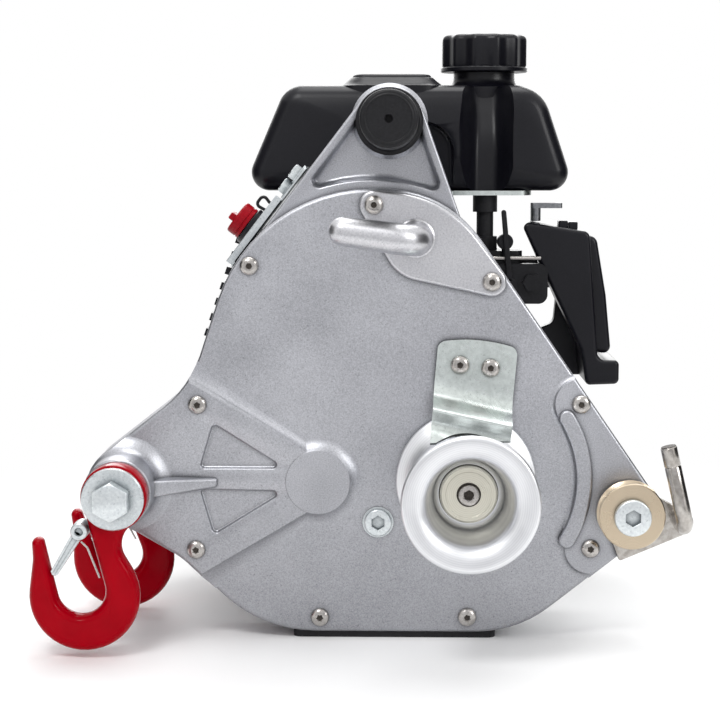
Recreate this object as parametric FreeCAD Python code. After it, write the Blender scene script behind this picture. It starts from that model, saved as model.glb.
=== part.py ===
import FreeCAD, Part
import math
import os

# Portable capstan winch in millimetres: X to the right, Y to the rear, Z up from the floor.
# Y is 0 on the joint between the gear housing and its cover.

# Gear case outline: circles that a tight belt goes round
PAD_THICK = 4.0
CASE_TOP_Z = 269.5
CASE_TOP_LEFT_X = -14.9
CASE_TOP_LEFT_R = 96.0
CASE_TOP_RIGHT_X = -7.5
CASE_TOP_RIGHT_R = 70.0
NECK_R = 65.0
NECK_SLACK = 3.5
NECK_HEADING_DEG = 173.6
HOOK_X = -161.8
HOOK_Z = 94.5
NOSE_R = 22.0
CHIN_X = -152.7
CHIN_Z = 17.4
CHIN_R = 40.0
SUMP_LEFT_X = -48.6
SUMP_LEFT_R = 80.0
SUMP_RIGHT_X = 48.3
SUMP_RIGHT_R = 70.0
SHEAVE_X = 138.1
SHEAVE_Z = 79.3
EAR_R = 18.3

# Depths of the gear case, from front to rear
COVER_DEPTH = 22.0
COVER_WALL = 5.0
COVER_EDGE_R = 2.0
GASKET_THICK = 0.8
FLANGE_DEPTH = 14.0
TUB_DEPTH = 46.0
TUB_WALL = 6.0
BELL_DEPTH = 32.0
BELL_R = 48.0
BELL_WALL = 6.0
BELL_FLANGE_R = 58.0
BELL_FLANGE_THICK = 6.0
BELL_BOLT_CIRCLE_R = 53.4
BELL_BOLT_R = 3.0
BELL_BOLT_GRIP = 7.0

# Gear train: module, teeth and the axes that the photograph fixes
MODULE = 2.0
PRESSURE_ANGLE = 25.0
BACKLASH = 0.4
PINION_TEETH = 11
LAY_GEAR_TEETH = 66
OUTPUT_GEAR_TEETH = 72
DRUM_X = 41.3
DRUM_Z = 97.5
CRANK_X = -46.6
CRANK_Z = 96.0
GEAR_ROOM = 3.0
INPUT_ROOM_R = 19.0
LAY_GEAR_WIDTH = 10.0
LAY_GEAR_FROM_TUB_REAR = 24.0
OUTPUT_GEAR_Y = -1.5
LAY_GEAR_GAP = 3.5

# Shafts and bearings
RUN_FIT = 0.05
SIDE_GAP = 0.3
OUTPUT_SHAFT_R = 12.5
OUTPUT_TAIL_R = 10.0
LAY_SHAFT_R = 7.5
INPUT_SHAFT_R = 7.5
CRANK_R = 10.0
FRONT_BEARING_R = 26.0
FRONT_BEARING_WIDTH = 15.0
TAIL_BEARING_R = 21.0
TAIL_BEARING_WIDTH = 12.0
SMALL_BEARING_R = 17.5
SMALL_BEARING_WIDTH = 11.0
BEARING_BOSS_WALL = 6.0
SEAL_R = 21.0

# Capstan drum
DRUM_REAR_Y = -26.0
DRUM_LENGTH = 76.0
DRUM_REAR_FLANGE_R = 41.5
DRUM_FRONT_FLANGE_R = 39.0
DRUM_BARREL_R = 28.5
DRUM_RIM = 4.0
DRUM_FLARE = 12.0
DRUM_BOWL_R = 24.0
DRUM_WEB_FRONT_Y = -66.0
DRUM_LIP_ROUND = 2.5
DRUM_LIP_DEEP = 14.0
DRUM_LIP_STEPS = 6
RETAINER_R = 16.5
RETAINER_THICK = 4.0
DRUM_BOLT_R = 4.0
DRUM_BOLT_GRIP = 25.0
DRUM_BOLT_HEAD_R = 6.2
DRUM_BOLT_HEAD = 5.5
DRUM_BOLT_SOCKET_R = 3.4
KEY_WIDTH = 8.0
KEY_HEIGHT = 7.0
KEY_LENGTH = 30.0

# Fasteners of the cover: centres read from the front, and one screw size
SCREW_R = 3.0
SCREW_HEAD_R = 5.5
SCREW_HEAD_HIGH = 3.3
SCREW_SOCKET_R = 2.3
SCREW_GRIP = 9.0
COVER_SCREWS = [(-86.9, 224.5), (-117.9, 142.4), (-119.5, 55.0), (-45.7, 13.0), (42.8, 13.5)]
EAR_SCREWS = [(109.2, 143.0), (115.9, 56.2)]
ROPE_SCREW_UPPER_DEG = 95.5
ROPE_SCREW_UPPER_INSET = 8.7
ROPE_SCREW_LOWER_DEG = 14.2
ROPE_SCREW_LOWER_INSET = 4.7
KEEPER_SCREWS = [(37.5, 166.5), (55.5, 164.7)]
OIL_PLUG_X = -10.8
OIL_PLUG_Z = 71.4
OIL_PLUG_R = 8.0
OIL_PLUG_THREAD_R = 6.5
OIL_PLUG_HIGH = 3.5

# Raised pads on the cover
NOSE_PAD_END_R = 19.0
NOSE_PAD_WIDE_R = 77.5
NOSE_PAD_HIGH = 4.0
NOSE_PAD_COVE = 14.0
NOSE_PAD_COVE_END = 3.0
POCKET_DEEP = 1.6
NOSE_RIB_LONG = 54.0
NOSE_RIB_HALF = 2.6
NOSE_RIB_DROP = 12.0
EAR_PAD_HIGH = 2.0
EAR_PAD_END_R = 15.8
EAR_PAD_INNER_R = 65.0
KIDNEY_R = 70.4
KIDNEY_HALF = 4.8
KIDNEY_HIGH = 2.5
KIDNEY_TOP_DEG = 32.0
KIDNEY_END_DEG = -31.0

# Carry arm and grip
GRIP_X = -4.5
GRIP_Z = 309.2
ARM_TOP_R = 21.0
ARM_FOOT_R = 8.0
ARM_LEFT_X = -77.7
ARM_LEFT_Z = 235.1
ARM_RIGHT_X = 34.0
ARM_RIGHT_Z = 240.0
ARM_DEPTH = 24.0
ARM_RIM = 5.0
ARM_POCKET_DEEP = 9.0
ARM_RIM_OVER_COVER = 5.5
GRIP_LENGTH = 95.0
GRIP_ROOT_Y = -4.0
GRIP_FLANGE_R = 20.0
GRIP_FLANGE_THICK = 5.0
GRIP_ROOT_R = 17.0
GRIP_END_R = 16.0
GRIP_VENT_R = 2.0
HANDLE_BAR_R = 10.0
GRIP_CAP_THICK = 6.0

# Rope hook with its finger
ROPE_PLATE_THICK = 4.5
ROPE_PLATE_END_R = 8.5
ROPE_PLATE_EDGE = 1.5
ROPE_PLATE_BELLY_DEG = 59.9
ROPE_PLATE_BELLY_INSET = 23.2
ROPE_PLATE_BELLY_R = 24.0
FINGER_R = 9.0
FINGER_TIP_R = 6.4
FINGER_FLARE_R = 14.0
FINGER_FLARE_HIGH = 7.0
FINGER_DEG = 66.0
FINGER_INSET = 24.6
FINGER_Y = -60.0
FINGER_BEND_R = 13.0
FINGER_REACH = 48.8
FINGER_RISE = 6.0

# Rope keeper, bent from sheet along a slanted line
KEEPER_X = 45.0
KEEPER_WIDTH = 47.0
KEEPER_THICK = 3.0
KEEPER_TOP_Z = 181.0
KEEPER_BEND_Z = 144.0
KEEPER_BEND_DEG = 7.4
KEEPER_SHELF = 9.0
KEEPER_SHELF_DROP = 1.0
KEEPER_REACH = 20.0
KEEPER_DROP = 7.0
KEEPER_LIP_REACH = 3.5
KEEPER_LIP = 7.0
KEEPER_TILT_DEG = 5.0
KEEPER_CORNER_R = 7.0

# Sheave and rope exit guide
GUIDE_THICK = 4.0
GUIDE_END_X = 168.7
GUIDE_END_Z = 73.0
GUIDE_END_R = 7.5
GUIDE_TOE_X = 133.5
GUIDE_TOE_Z = 51.5
GUIDE_TOE_R = 1.5
GUIDE_EYE_R = 15.5
ROD_R = 4.8
ROD_FRONT_Y = -50.0
ROD_BEND_R = 13.0
ROD_TOP_Z = 122.6
ROD_LEAN_DEG = -13.3
SHEAVE_R = 19.5
SHEAVE_ROOT_R = 14.0
SHEAVE_WIDTH = 14.0
SHEAVE_LIP = 2.5
SHEAVE_BOLT_R = 6.0
SHEAVE_HEAD_R = 10.8
SHEAVE_HEAD_THICK = 5.0
SHEAVE_SOCKET_R = 4.5

# Safety hooks, measured from the pivot
HOOK_THICK = 14.0
REAR_HOOK_TURN_DEG = -6.5
HOOK_EDGE_R = 3.2
HOOK_EYE_R = 19.0
HOOK_BOLT_R = 8.0
HOOK_BOWL_X = -20.2
HOOK_BOWL_Z = -55.0
HOOK_BOWL_R = 14.1
HOOK_BACK_X = -18.3
HOOK_BACK_Z = -58.3
HOOK_BACK_R = 32.2
HOOK_TIP_X = -44.6
HOOK_TIP_Z = -27.6
HOOK_TIP_R = 3.6
HOOK_FLARE_X = -68.0
HOOK_FLARE_Z = -36.0
HOOK_FLARE_R = 20.0
HOOK_NECK_X = 17.6
HOOK_NECK_Z = -28.2
HOOK_NECK_R = 14.0
LATCH_X = -20.0
LATCH_Z = -19.5
LATCH_END_X = -34.6
LATCH_END_Z = -43.6
LATCH_R = 5.0
LATCH_END_R = 2.0
LATCH_WIDTH = 12.0
LATCH_SHEET = 2.2
LATCH_PIN_R = 2.0
NOSE_BOSS_R = 20.0
NOSE_BOSS_FRONT_Y = -55.7
NOSE_BOSS_REAR_Y = 34.7
WASHER_R = 18.0
WASHER_THICK = 3.5
HEX_R = 11.3
BOLT_HEAD_HIGH = 10.0
NUT_HIGH = 13.0
BOLT_TAIL = 4.0

# Rubber pad under the flat bottom
PAD_LEFT_X = -62.0
PAD_RIGHT_X = 60.0
PAD_SETBACK = 3.0
PAD_CORNER_R = 5.0

# Centrifugal clutch
CLUTCH_DRUM_R = 38.0
CLUTCH_DRUM_WALL = 3.5
CLUTCH_DRUM_WEB = 4.0
CLUTCH_DRUM_GAP = 4.0
CLUTCH_DRUM_LENGTH = 22.0
SHOE_GAP = 0.7
SHOE_ROOT_R = 16.0
SHOE_SPLIT = 3.0
SHOE_WIDTH = 13.0
SHOE_SETBACK = 7.5
CLUTCH_HUB_R = 15.5

# Engine
CASE_LENGTH = 72.0
CASE_BODY_R = 50.0
CASE_FOOT_HALF = 44.0
CASE_FOOT_THICK = 8.0
CASE_FOOT_SETBACK = 12.0
CASE_FOOT_LONG = 70.0
CASE_FOOT_HOLE_R = 4.2
BACK_PLATE_R = 82.0
BACK_PLATE_THICK = 5.0
CYLINDER_TILT_DEG = 25.0
CYLINDER_SETBACK = 38.0
CYLINDER_R = 30.0
CYLINDER_DECK = 54.0
FIN_SIDE = 78.0
FIN_DEPTH = 66.0
FIN_THICK = 2.6
FIN_PITCH = 8.0
FIN_COUNT = 6
FIN_CORNER_R = 10.0
HEAD_HIGH = 22.0
HEAD_SIDE = 74.0
VALVE_COVER_HIGH = 20.0
VALVE_COVER_LONG = 62.0
VALVE_COVER_WIDE = 54.0
VALVE_COVER_CORNER_R = 9.0
VALVE_COVER_EDGE_R = 5.0
PLUG_HEX_R = 9.0
PLUG_BODY_R = 5.5
PLUG_LONG = 34.0
PLUG_DROP = 8.5
PLUG_GRIP = 12.0
PORT_R = 10.5
FAN_COVER_DEPTH = 50.0
FAN_COVER_WALL = 3.0
FAN_COVER_SHOULDER = 14.0
RECOIL_R = 56.0
RECOIL_DEPTH = 22.0
RECOIL_SLOTS = 12
FLYWHEEL_R = 70.0
FLYWHEEL_THICK = 16.0
FAN_BLADES = 10
FAN_BLADE_HIGH = 12.0
STARTER_LONG = 34.0
STARTER_R = 9.0

# Fuel tank, cap and their bracket
TANK_SETBACK = 8.0
TANK_DEEP = 118.0
TANK_WALL = 4.0
TANK_LEFT_X = -83.0
TANK_RIGHT_X = 99.5
TANK_LOW_Z = 278.0
TANK_LOW_R = 12.0
TANK_SHOULDER_LEFT_X = -65.0
TANK_SHOULDER_RIGHT_X = 85.4
TANK_RISE = 41.0
TANK_SHOULDER_R = 13.0
TANK_EDGE_R = 9.0
TANK_HUMP_LEFT_X = -30.0
TANK_HUMP_RIGHT_X = 23.0
TANK_HUMP_HIGH = 7.0
FILLER_X = 58.3
FILLER_FROM_FRONT = 59.0
FILLER_R = 20.5
FILLER_BORE_R = 16.0
FILLER_HIGH = 18.0
TANK_GROOVE_R = 11.0
CAP_R = 29.0
CAP_SKIRT = 6.0
CAP_HIGH = 24.5
CAP_BAND = 3.0
CAP_FLUTES = 12
CAP_FLUTE_R = 9.0
CAP_FLUTE_DEEP = 1.7
BRACKET_THICK = 3.0
BRACKET_LEFT_X = -58.0
BRACKET_RIGHT_X = 88.0
BRACKET_INSET_Y = 10.0
LEG_LEFT_X = 16.0
LEG_RIGHT_X = 36.0
LEG_DROP = 14.0

# Carburettor side
FLANGE_LOW_X = 40.0
FLANGE_HIGH_X = 98.0
FLANGE_LOW_Z = 193.0
FLANGE_HIGH_Z = 219.0
FLANGE_SETBACK = 17.0
FLANGE_THICK = 8.0
CARB_X = 64.0
CARB_Z = 212.0
CARB_LONG = 36.0
CARB_HIGH = 30.0
CARB_DEEP = 34.0
BOWL_R = 15.0
BOWL_HIGH = 20.0
HOSE_R = 5.5
HOSE_COLLAR_R = 8.0
THROTTLE_X = 73.5
THROTTLE_Z = 205.0
THROTTLE_TOP_Z = 254.0
THROTTLE_WIDE = 3.4
THROTTLE_THICK = 2.5
THROTTLE_PIN_R = 3.0
THROTTLE_EYE = 1.8
THROTTLE_LEAN = 4.5
CLEANER_DEEP = 88.0
CLEANER_TOP_LEFT = (86.0, 241.8, 3.5)
CLEANER_WAIST = (101.4, 156.0, -20.0)
CLEANER_FOOT_LEFT = (127.5, 142.2, 3.5)
CLEANER_FOOT_RIGHT = (142.8, 142.8, 3.5)
CLEANER_HEEL = (142.8, 151.6, 3.5)
CLEANER_STEP = (137.2, 160.3, -5.2)
CLEANER_TOP_RIGHT = (121.1, 235.0, 5.0)
CLEANER_EDGE_R = 2.5
CLEANER_COVER = [(122.0, 229.0, 5.0), (126.0, 164.0, 4.0), (136.8, 163.5, 4.5), (130.6, 196.0, 7.4)]
CLEANER_COVER_FRONT = 8.0
CLEANER_COVER_REAR = 6.0
CLEANER_COVER_EDGE_R = 3.0
CHOKE_X = 92.0
CHOKE_SETBACK = 23.0
CHOKE_R = 3.4
CHOKE_TOP_Z = 257.5
CHOKE_REACH = 17.5
CHOKE_BAR = 3.4

# Muffler side
MUFFLER_X = -82.5
MUFFLER_Z = 193.0
MUFFLER_WIDE = 48.0
MUFFLER_HIGH = 70.0
MUFFLER_LEAN_DEG = 19.0
MUFFLER_CORNER_R = 10.0
MUFFLER_SETBACK = 14.0
MUFFLER_DEEP = 54.0
GUARD_GAP = 5.0
GUARD_SHEET = 1.6
GUARD_RIB = 4.0
GUARD_RIB_WIDE = 5.0
GUARD_RIBS = 7
GUARD_SINK = 0.8
GUARD_FOOT_WIDE = 10.0
GUARD_FOOT_SETBACK = 8.0
GUARD_FOOT_LONG = 8.0

# Stop switch on its sheet bracket, placed along the left flank of the carry arm
SWITCH_SHEET = 2.5
SWITCH_REAR_GAP = 1.0
SWITCH_ALONG = 52.0
SWITCH_SHEET_LONG = 75.0
SWITCH_BOLT_ALONG = 13.0
SWITCH_FROM_EDGE = 54.0
SWITCH_SETBACK = 15.0
SWITCH_BODY_R = 12.5
SWITCH_BODY_HIGH = 9.0
SWITCH_KNOB_R = 11.0
SWITCH_KNOB_HIGH = 9.0
SWITCH_BAR_HIGH = 3.5
SWITCH_BAR_HALF = 3.0

# Depths that follow from the values above
COVER_FACE = -COVER_DEPTH
COVER_BACK = -GASKET_THICK
ENGINE_FACE = TUB_DEPTH + BELL_DEPTH
CASE_REAR = ENGINE_FACE + CASE_LENGTH
FAN_FRONT = CASE_REAR + BACK_PLATE_THICK
FAN_REAR = FAN_FRONT + FAN_COVER_DEPTH
CLUTCH_DRUM_Y = TUB_DEPTH + CLUTCH_DRUM_GAP
SHOE_Y = CLUTCH_DRUM_Y + SHOE_SETBACK
CASE_FOOT_FRONT_Y = ENGINE_FACE + CASE_FOOT_SETBACK
CASE_FOOT_REAR_Y = CASE_FOOT_FRONT_Y + CASE_FOOT_LONG
CYLINDER_Y = ENGINE_FACE + CYLINDER_SETBACK
TANK_FRONT_Y = ENGINE_FACE + TANK_SETBACK
TANK_REAR_Y = TANK_FRONT_Y + TANK_DEEP
TANK_SHOULDER_Z = TANK_LOW_Z + TANK_RISE
FILLER_Y = TANK_FRONT_Y + FILLER_FROM_FRONT
FILLER_TOP_Z = TANK_SHOULDER_Z + TANK_SHOULDER_R + FILLER_HIGH
CAP_LOW_Z = FILLER_TOP_Z - CAP_SKIRT
CAP_TOP_Z = CAP_LOW_Z + CAP_HIGH
FLANGE_Y = ENGINE_FACE + FLANGE_SETBACK
CLEANER_FRONT_Y = FLANGE_Y
CLEANER_REAR_Y = CLEANER_FRONT_Y + CLEANER_DEEP
CHOKE_Y = CLEANER_FRONT_Y + CHOKE_SETBACK
MUFFLER_FRONT_Y = ENGINE_FACE + MUFFLER_SETBACK
MUFFLER_REAR_Y = MUFFLER_FRONT_Y + MUFFLER_DEEP
SWITCH_REAR_Y = TANK_FRONT_Y - SWITCH_REAR_GAP
SWITCH_Y = SWITCH_REAR_Y - SWITCH_SETBACK
LAY_GEAR_Y = TUB_DEPTH - LAY_GEAR_FROM_TUB_REAR
OUTPUT_GEAR_WIDTH = LAY_GEAR_Y - LAY_GEAR_GAP - OUTPUT_GEAR_Y
DRUM_FRONT_Y = DRUM_REAR_Y - DRUM_LENGTH
EAR_FACE = COVER_FACE - EAR_PAD_HIGH
NOSE_FACE = COVER_FACE - NOSE_PAD_HIGH
GUIDE_FACE = EAR_FACE - GUIDE_THICK
SHEAVE_REAR_Y = GUIDE_FACE - SIDE_GAP
SHEAVE_FRONT_Y = SHEAVE_REAR_Y - SHEAVE_WIDTH
FRONT_HOOK_Y = NOSE_BOSS_FRONT_Y - SIDE_GAP - HOOK_THICK / 2
REAR_HOOK_Y = NOSE_BOSS_REAR_Y + SIDE_GAP + HOOK_THICK / 2


def meeting_point(first, first_r, second, second_r):
    """Upper crossing of two circles in the X Z plane."""
    span = math.dist(first, second)
    along = (first_r**2 - second_r**2 + span**2) / (2 * span)
    across = math.sqrt(first_r**2 - along**2)
    ux = (second[0] - first[0]) / span
    uz = (second[1] - first[1]) / span
    return first[0] + along * ux - across * uz, first[1] + along * uz + across * ux


def on_crown(heading_deg, inset):
    """Point inside the right top curve of the case, measured in from its edge."""
    reach = CASE_TOP_RIGHT_R - inset
    angle = math.radians(heading_deg)
    return CASE_TOP_RIGHT_X + reach * math.cos(angle), CASE_TOP_Z - CASE_TOP_RIGHT_R + reach * math.sin(angle)


def pitch_radius(teeth):
    """Pitch radius of a gear."""
    return MODULE * teeth / 2


DRUM = (DRUM_X, DRUM_Z)
CRANK = (CRANK_X, CRANK_Z)
LAY = meeting_point(
    CRANK,
    pitch_radius(PINION_TEETH) + pitch_radius(LAY_GEAR_TEETH),
    DRUM,
    pitch_radius(PINION_TEETH) + pitch_radius(OUTPUT_GEAR_TEETH),
)
NECK_SPAN = CASE_TOP_LEFT_R + NECK_R + NECK_SLACK
NECK = (
    CASE_TOP_LEFT_X + NECK_SPAN * math.cos(math.radians(NECK_HEADING_DEG)),
    CASE_TOP_Z - CASE_TOP_LEFT_R + NECK_SPAN * math.sin(math.radians(NECK_HEADING_DEG)),
)
HOOK = (HOOK_X, HOOK_Z)
SHEAVE = (SHEAVE_X, SHEAVE_Z)
GRIP = (GRIP_X, GRIP_Z)
ROPE_HOOK_SCREWS = [
    on_crown(ROPE_SCREW_UPPER_DEG, ROPE_SCREW_UPPER_INSET),
    on_crown(ROPE_SCREW_LOWER_DEG, ROPE_SCREW_LOWER_INSET),
]
FINGER_X, FINGER_Z = on_crown(FINGER_DEG, FINGER_INSET)
X_AXIS = FreeCAD.Vector(1, 0, 0)
Y_AXIS = FreeCAD.Vector(0, 1, 0)
Z_AXIS = FreeCAD.Vector(0, 0, 1)


# Shared forms

def tangent_point(circle, heading, y):
    """Point where a line with this heading touches a signed circle."""
    x, z, r = circle
    return FreeCAD.Vector(x + r * math.sin(heading), y, z - r * math.cos(heading))


def belt_wire(circles, y, inset=0.0):
    """Belt round circles (x, z, r), counterclockwise; a negative r bends the belt inwards."""
    wheels = [(x, z, r - inset) for x, z, r in circles]
    pairs = list(zip(wheels, wheels[1:] + wheels[:1]))
    headings = []
    for (x0, z0, r0), (x1, z1, r1) in pairs:
        span = math.hypot(x1 - x0, z1 - z0)
        headings.append(math.atan2(z1 - z0, x1 - x0) - math.asin((r1 - r0) / span))
    edges = []
    for index, (wheel, following) in enumerate(pairs):
        arrive = headings[index - 1]
        leave = headings[index]
        turn = (leave - arrive) % math.tau
        if wheel[2] < 0:
            turn -= math.tau
        start = tangent_point(wheel, arrive, y)
        middle = tangent_point(wheel, arrive + turn / 2, y)
        end = tangent_point(wheel, leave, y)
        edges.append(Part.Arc(start, middle, end).toShape())
        edges.append(Part.makeLine(end, tangent_point(following, leave, y)))
    return Part.Wire(edges)


def belt(circles, y0, y1, inset=0.0):
    """Prism along Y with a belt outline."""
    face = Part.Face(belt_wire(circles, y0, inset))
    return face.extrude(FreeCAD.Vector(0, y1 - y0, 0))


def disc(center, radius, y0, y1):
    """Cylinder along Y."""
    start = FreeCAD.Vector(center[0], min(y0, y1), center[1])
    return Part.makeCylinder(radius, abs(y1 - y0), start, Y_AXIS)


def ring(center, outer, inner, y0, y1):
    """Tube along Y."""
    return disc(center, outer, y0, y1).cut(disc(center, inner, y0, y1))


def post(x, y, radius, z0, z1):
    """Cylinder along Z."""
    return Part.makeCylinder(radius, z1 - z0, FreeCAD.Vector(x, y, z0), Z_AXIS)


def turned(center, profile):
    """Piece turned about an axis along Y from a profile of (radius, y) points."""
    points = [FreeCAD.Vector(center[0] + r, y, center[1]) for r, y in profile]
    face = Part.Face(Part.makePolygon(points + points[:1]))
    return face.revolve(FreeCAD.Vector(center[0], 0, center[1]), Y_AXIS, 360)


def turned_up(x, y, profile):
    """Piece turned about an upright axis from a profile of (radius, z) points."""
    points = [FreeCAD.Vector(x + r, y, z) for r, z in profile]
    face = Part.Face(Part.makePolygon(points + points[:1]))
    return face.revolve(FreeCAD.Vector(x, y, 0), Z_AXIS, 360)


def block(x0, x1, y0, y1, z0, z1):
    """Plain box between two corners."""
    return Part.makeBox(x1 - x0, y1 - y0, z1 - z0, FreeCAD.Vector(x0, y0, z0))


def soft_block(x0, x1, y0, y1, z0, z1, radius):
    """Box with its upright edges rounded."""
    box = block(x0, x1, y0, y1, z0, z1)
    upright = [edge for edge in box.Edges if edge.Vertexes[0].Z != edge.Vertexes[1].Z]
    return box.makeFillet(radius, upright)


def hex_bar(center, radius, y0, y1):
    """Six-sided bar along Y."""
    corners = []
    for step in range(7):
        angle = math.radians(60 * step)
        corners.append(FreeCAD.Vector(center[0] + radius * math.cos(angle), y0,
                                      center[1] + radius * math.sin(angle)))
    return Part.Face(Part.makePolygon(corners)).extrude(FreeCAD.Vector(0, y1 - y0, 0))


def joined(first, *others):
    """One solid from pieces that meet."""
    return first.fuse(list(others)).removeSplitter()


def ring_edges(shape, y, slack=0.001):
    """Edges of a prism that lie in one plane across Y."""
    return [edge for edge in shape.Edges if abs(edge.BoundBox.YMin - y) < slack
            and abs(edge.BoundBox.YMax - y) < slack]


def pipe(points, bend_r, radius):
    """Round bar along straight runs with one bend radius at the corners."""
    edges = []
    start = points[0]
    for corner, following in zip(points[1:-1], points[2:]):
        into = (corner - points[points.index(corner) - 1]).normalize()
        out = (following - corner).normalize()
        half = into.getAngle(out) / 2
        back = bend_r * math.tan(half)
        first = corner - into * back
        last = corner + out * back
        side = (out - into).normalize()
        middle = corner + side * (bend_r / math.cos(half) - bend_r)
        edges.append(Part.makeLine(start, first))
        edges.append(Part.Arc(first, middle, last).toShape())
        start = last
    edges.append(Part.makeLine(start, points[-1]))
    path = Part.Wire(edges)
    section = Part.Wire(Part.makeCircle(radius, points[0], points[1] - points[0]))
    return path.makePipeShell([section], True, False)


# Gears

def involute_turn(radius, base):
    """Angle between the start of an involute and its point at a radius."""
    pressure = math.acos(min(1.0, base / radius))
    return math.tan(pressure) - pressure


def gear(center, teeth, y0, y1, phase):
    """Spur gear whose first tooth points along the phase angle."""
    pitch = pitch_radius(teeth)
    base = pitch * math.cos(math.radians(PRESSURE_ANGLE))
    tip = pitch + MODULE
    root = pitch - 1.25 * MODULE
    low = max(base, root)
    half_pitch = math.pi / (2 * teeth) - BACKLASH / (4 * pitch)
    half_base = half_pitch + involute_turn(pitch, base)
    middle = (low + tip) / 2

    def at(radius, angle):
        return FreeCAD.Vector(center[0] + radius * math.cos(angle), y0,
                              center[1] + radius * math.sin(angle))

    edges = []
    for tooth in range(teeth):
        axis = phase + math.tau * tooth / teeth
        following = axis + math.tau / teeth
        flank = [(r, half_base - involute_turn(r, base)) for r in (low, middle, tip)]
        rising = [at(r, axis - turn) for r, turn in flank]
        falling = [at(r, axis + turn) for r, turn in reversed(flank)]
        foot = at(root, axis - flank[0][1])
        heel = at(root, axis + flank[0][1])
        if root < base:
            edges.append(Part.makeLine(foot, rising[0]))
        edges.append(Part.Arc(*rising).toShape())
        edges.append(Part.makeLine(rising[2], falling[0]))
        edges.append(Part.Arc(*falling).toShape())
        if root < base:
            edges.append(Part.makeLine(falling[2], heel))
        edges.append(Part.makeLine(heel, at(root, following - flank[0][1])))
    return Part.Face(Part.Wire(edges)).extrude(FreeCAD.Vector(0, y1 - y0, 0))


def heading(first, second):
    """Angle from one axis to another in the X Z plane."""
    return math.atan2(second[1] - first[1], second[0] - first[0])


def tip_radius(teeth):
    """Outer radius of a gear."""
    return pitch_radius(teeth) + MODULE


# Gear case

def case_circles():
    """Outline of the gear case, counterclockwise from the top left."""
    return [
        (CASE_TOP_LEFT_X, CASE_TOP_Z - CASE_TOP_LEFT_R, CASE_TOP_LEFT_R),
        (*NECK, -NECK_R),
        (HOOK_X, HOOK_Z, NOSE_R),
        (CHIN_X, CHIN_Z, -CHIN_R),
        (SUMP_LEFT_X, PAD_THICK + SUMP_LEFT_R, SUMP_LEFT_R),
        (SUMP_RIGHT_X, PAD_THICK + SUMP_RIGHT_R, SUMP_RIGHT_R),
        (SHEAVE_X, SHEAVE_Z, EAR_R),
        (CASE_TOP_RIGHT_X, CASE_TOP_Z - CASE_TOP_RIGHT_R, CASE_TOP_RIGHT_R),
    ]


def cavity_circles():
    """Gear room: a belt round the two large gears and the input pinion."""
    return [
        (*LAY, tip_radius(LAY_GEAR_TEETH) + GEAR_ROOM),
        (*CRANK, INPUT_ROOM_R),
        (*DRUM, tip_radius(OUTPUT_GEAR_TEETH) + GEAR_ROOM),
    ]


def arm_circles():
    """Outline of the carry arm."""
    return [
        (GRIP_X, GRIP_Z, ARM_TOP_R),
        (ARM_LEFT_X, ARM_LEFT_Z, ARM_FOOT_R),
        (ARM_RIGHT_X, ARM_RIGHT_Z, ARM_FOOT_R),
    ]


def nose_pad():
    """Raised wedge that carries the hook boss, with a cove down to the cover face."""
    end = (CRANK_X, CRANK_Z)
    wide = (HOOK_X, CRANK_Z)
    foot = [(*end, NOSE_PAD_END_R + NOSE_PAD_COVE_END), (*wide, NOSE_PAD_WIDE_R + NOSE_PAD_COVE)]
    crown = [(*end, NOSE_PAD_END_R), (*wide, NOSE_PAD_WIDE_R)]
    wedge = Part.makeLoft([belt_wire(foot, COVER_FACE), belt_wire(crown, NOSE_FACE)], True, True)
    limit = belt(case_circles(), NOSE_FACE, COVER_FACE, COVER_EDGE_R)
    return wedge.common(limit)


def nose_pockets():
    """Two shallow three-sided pockets in the nose pad."""
    floor = NOSE_FACE + POCKET_DEEP
    upper = [(-107.3, 127.3, 3.0), (-114.0, 106.6, 2.5), (-73.5, 106.6, 2.5)]
    lower = [(-114.0, 89.4, 2.5), (-107.3, 68.2, 3.0), (-73.5, 88.6, 2.5)]
    return [belt(circles, NOSE_FACE, floor) for circles in (upper, lower)]


def nose_rib():
    """Tapered rib from the hook boss to between the pockets."""
    half = NOSE_RIB_HALF
    tail_x = HOOK_X + NOSE_RIB_LONG
    boss_x = HOOK_X + NOSE_BOSS_R - 2.0
    points = [
        FreeCAD.Vector(boss_x, NOSE_FACE, HOOK_Z - half),
        FreeCAD.Vector(tail_x, NOSE_FACE, HOOK_Z - half),
        FreeCAD.Vector(boss_x, NOSE_BOSS_FRONT_Y + NOSE_RIB_DROP, HOOK_Z - half),
    ]
    face = Part.Face(Part.makePolygon(points + points[:1]))
    return face.extrude(FreeCAD.Vector(0, 0, 2 * half))


def ear_pad():
    """Raised land round the two right screws, cut by an arc about the drum axis."""
    upper, lower = EAR_SCREWS
    circles = [
        (*upper, EAR_PAD_END_R),
        (*DRUM, -EAR_PAD_INNER_R),
        (*lower, EAR_PAD_END_R),
        (SHEAVE_X, SHEAVE_Z, 2 * EAR_R),
    ]
    land = belt(circles, EAR_FACE, COVER_FACE)
    return land.common(belt(case_circles(), EAR_FACE, COVER_FACE, COVER_EDGE_R))


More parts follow.
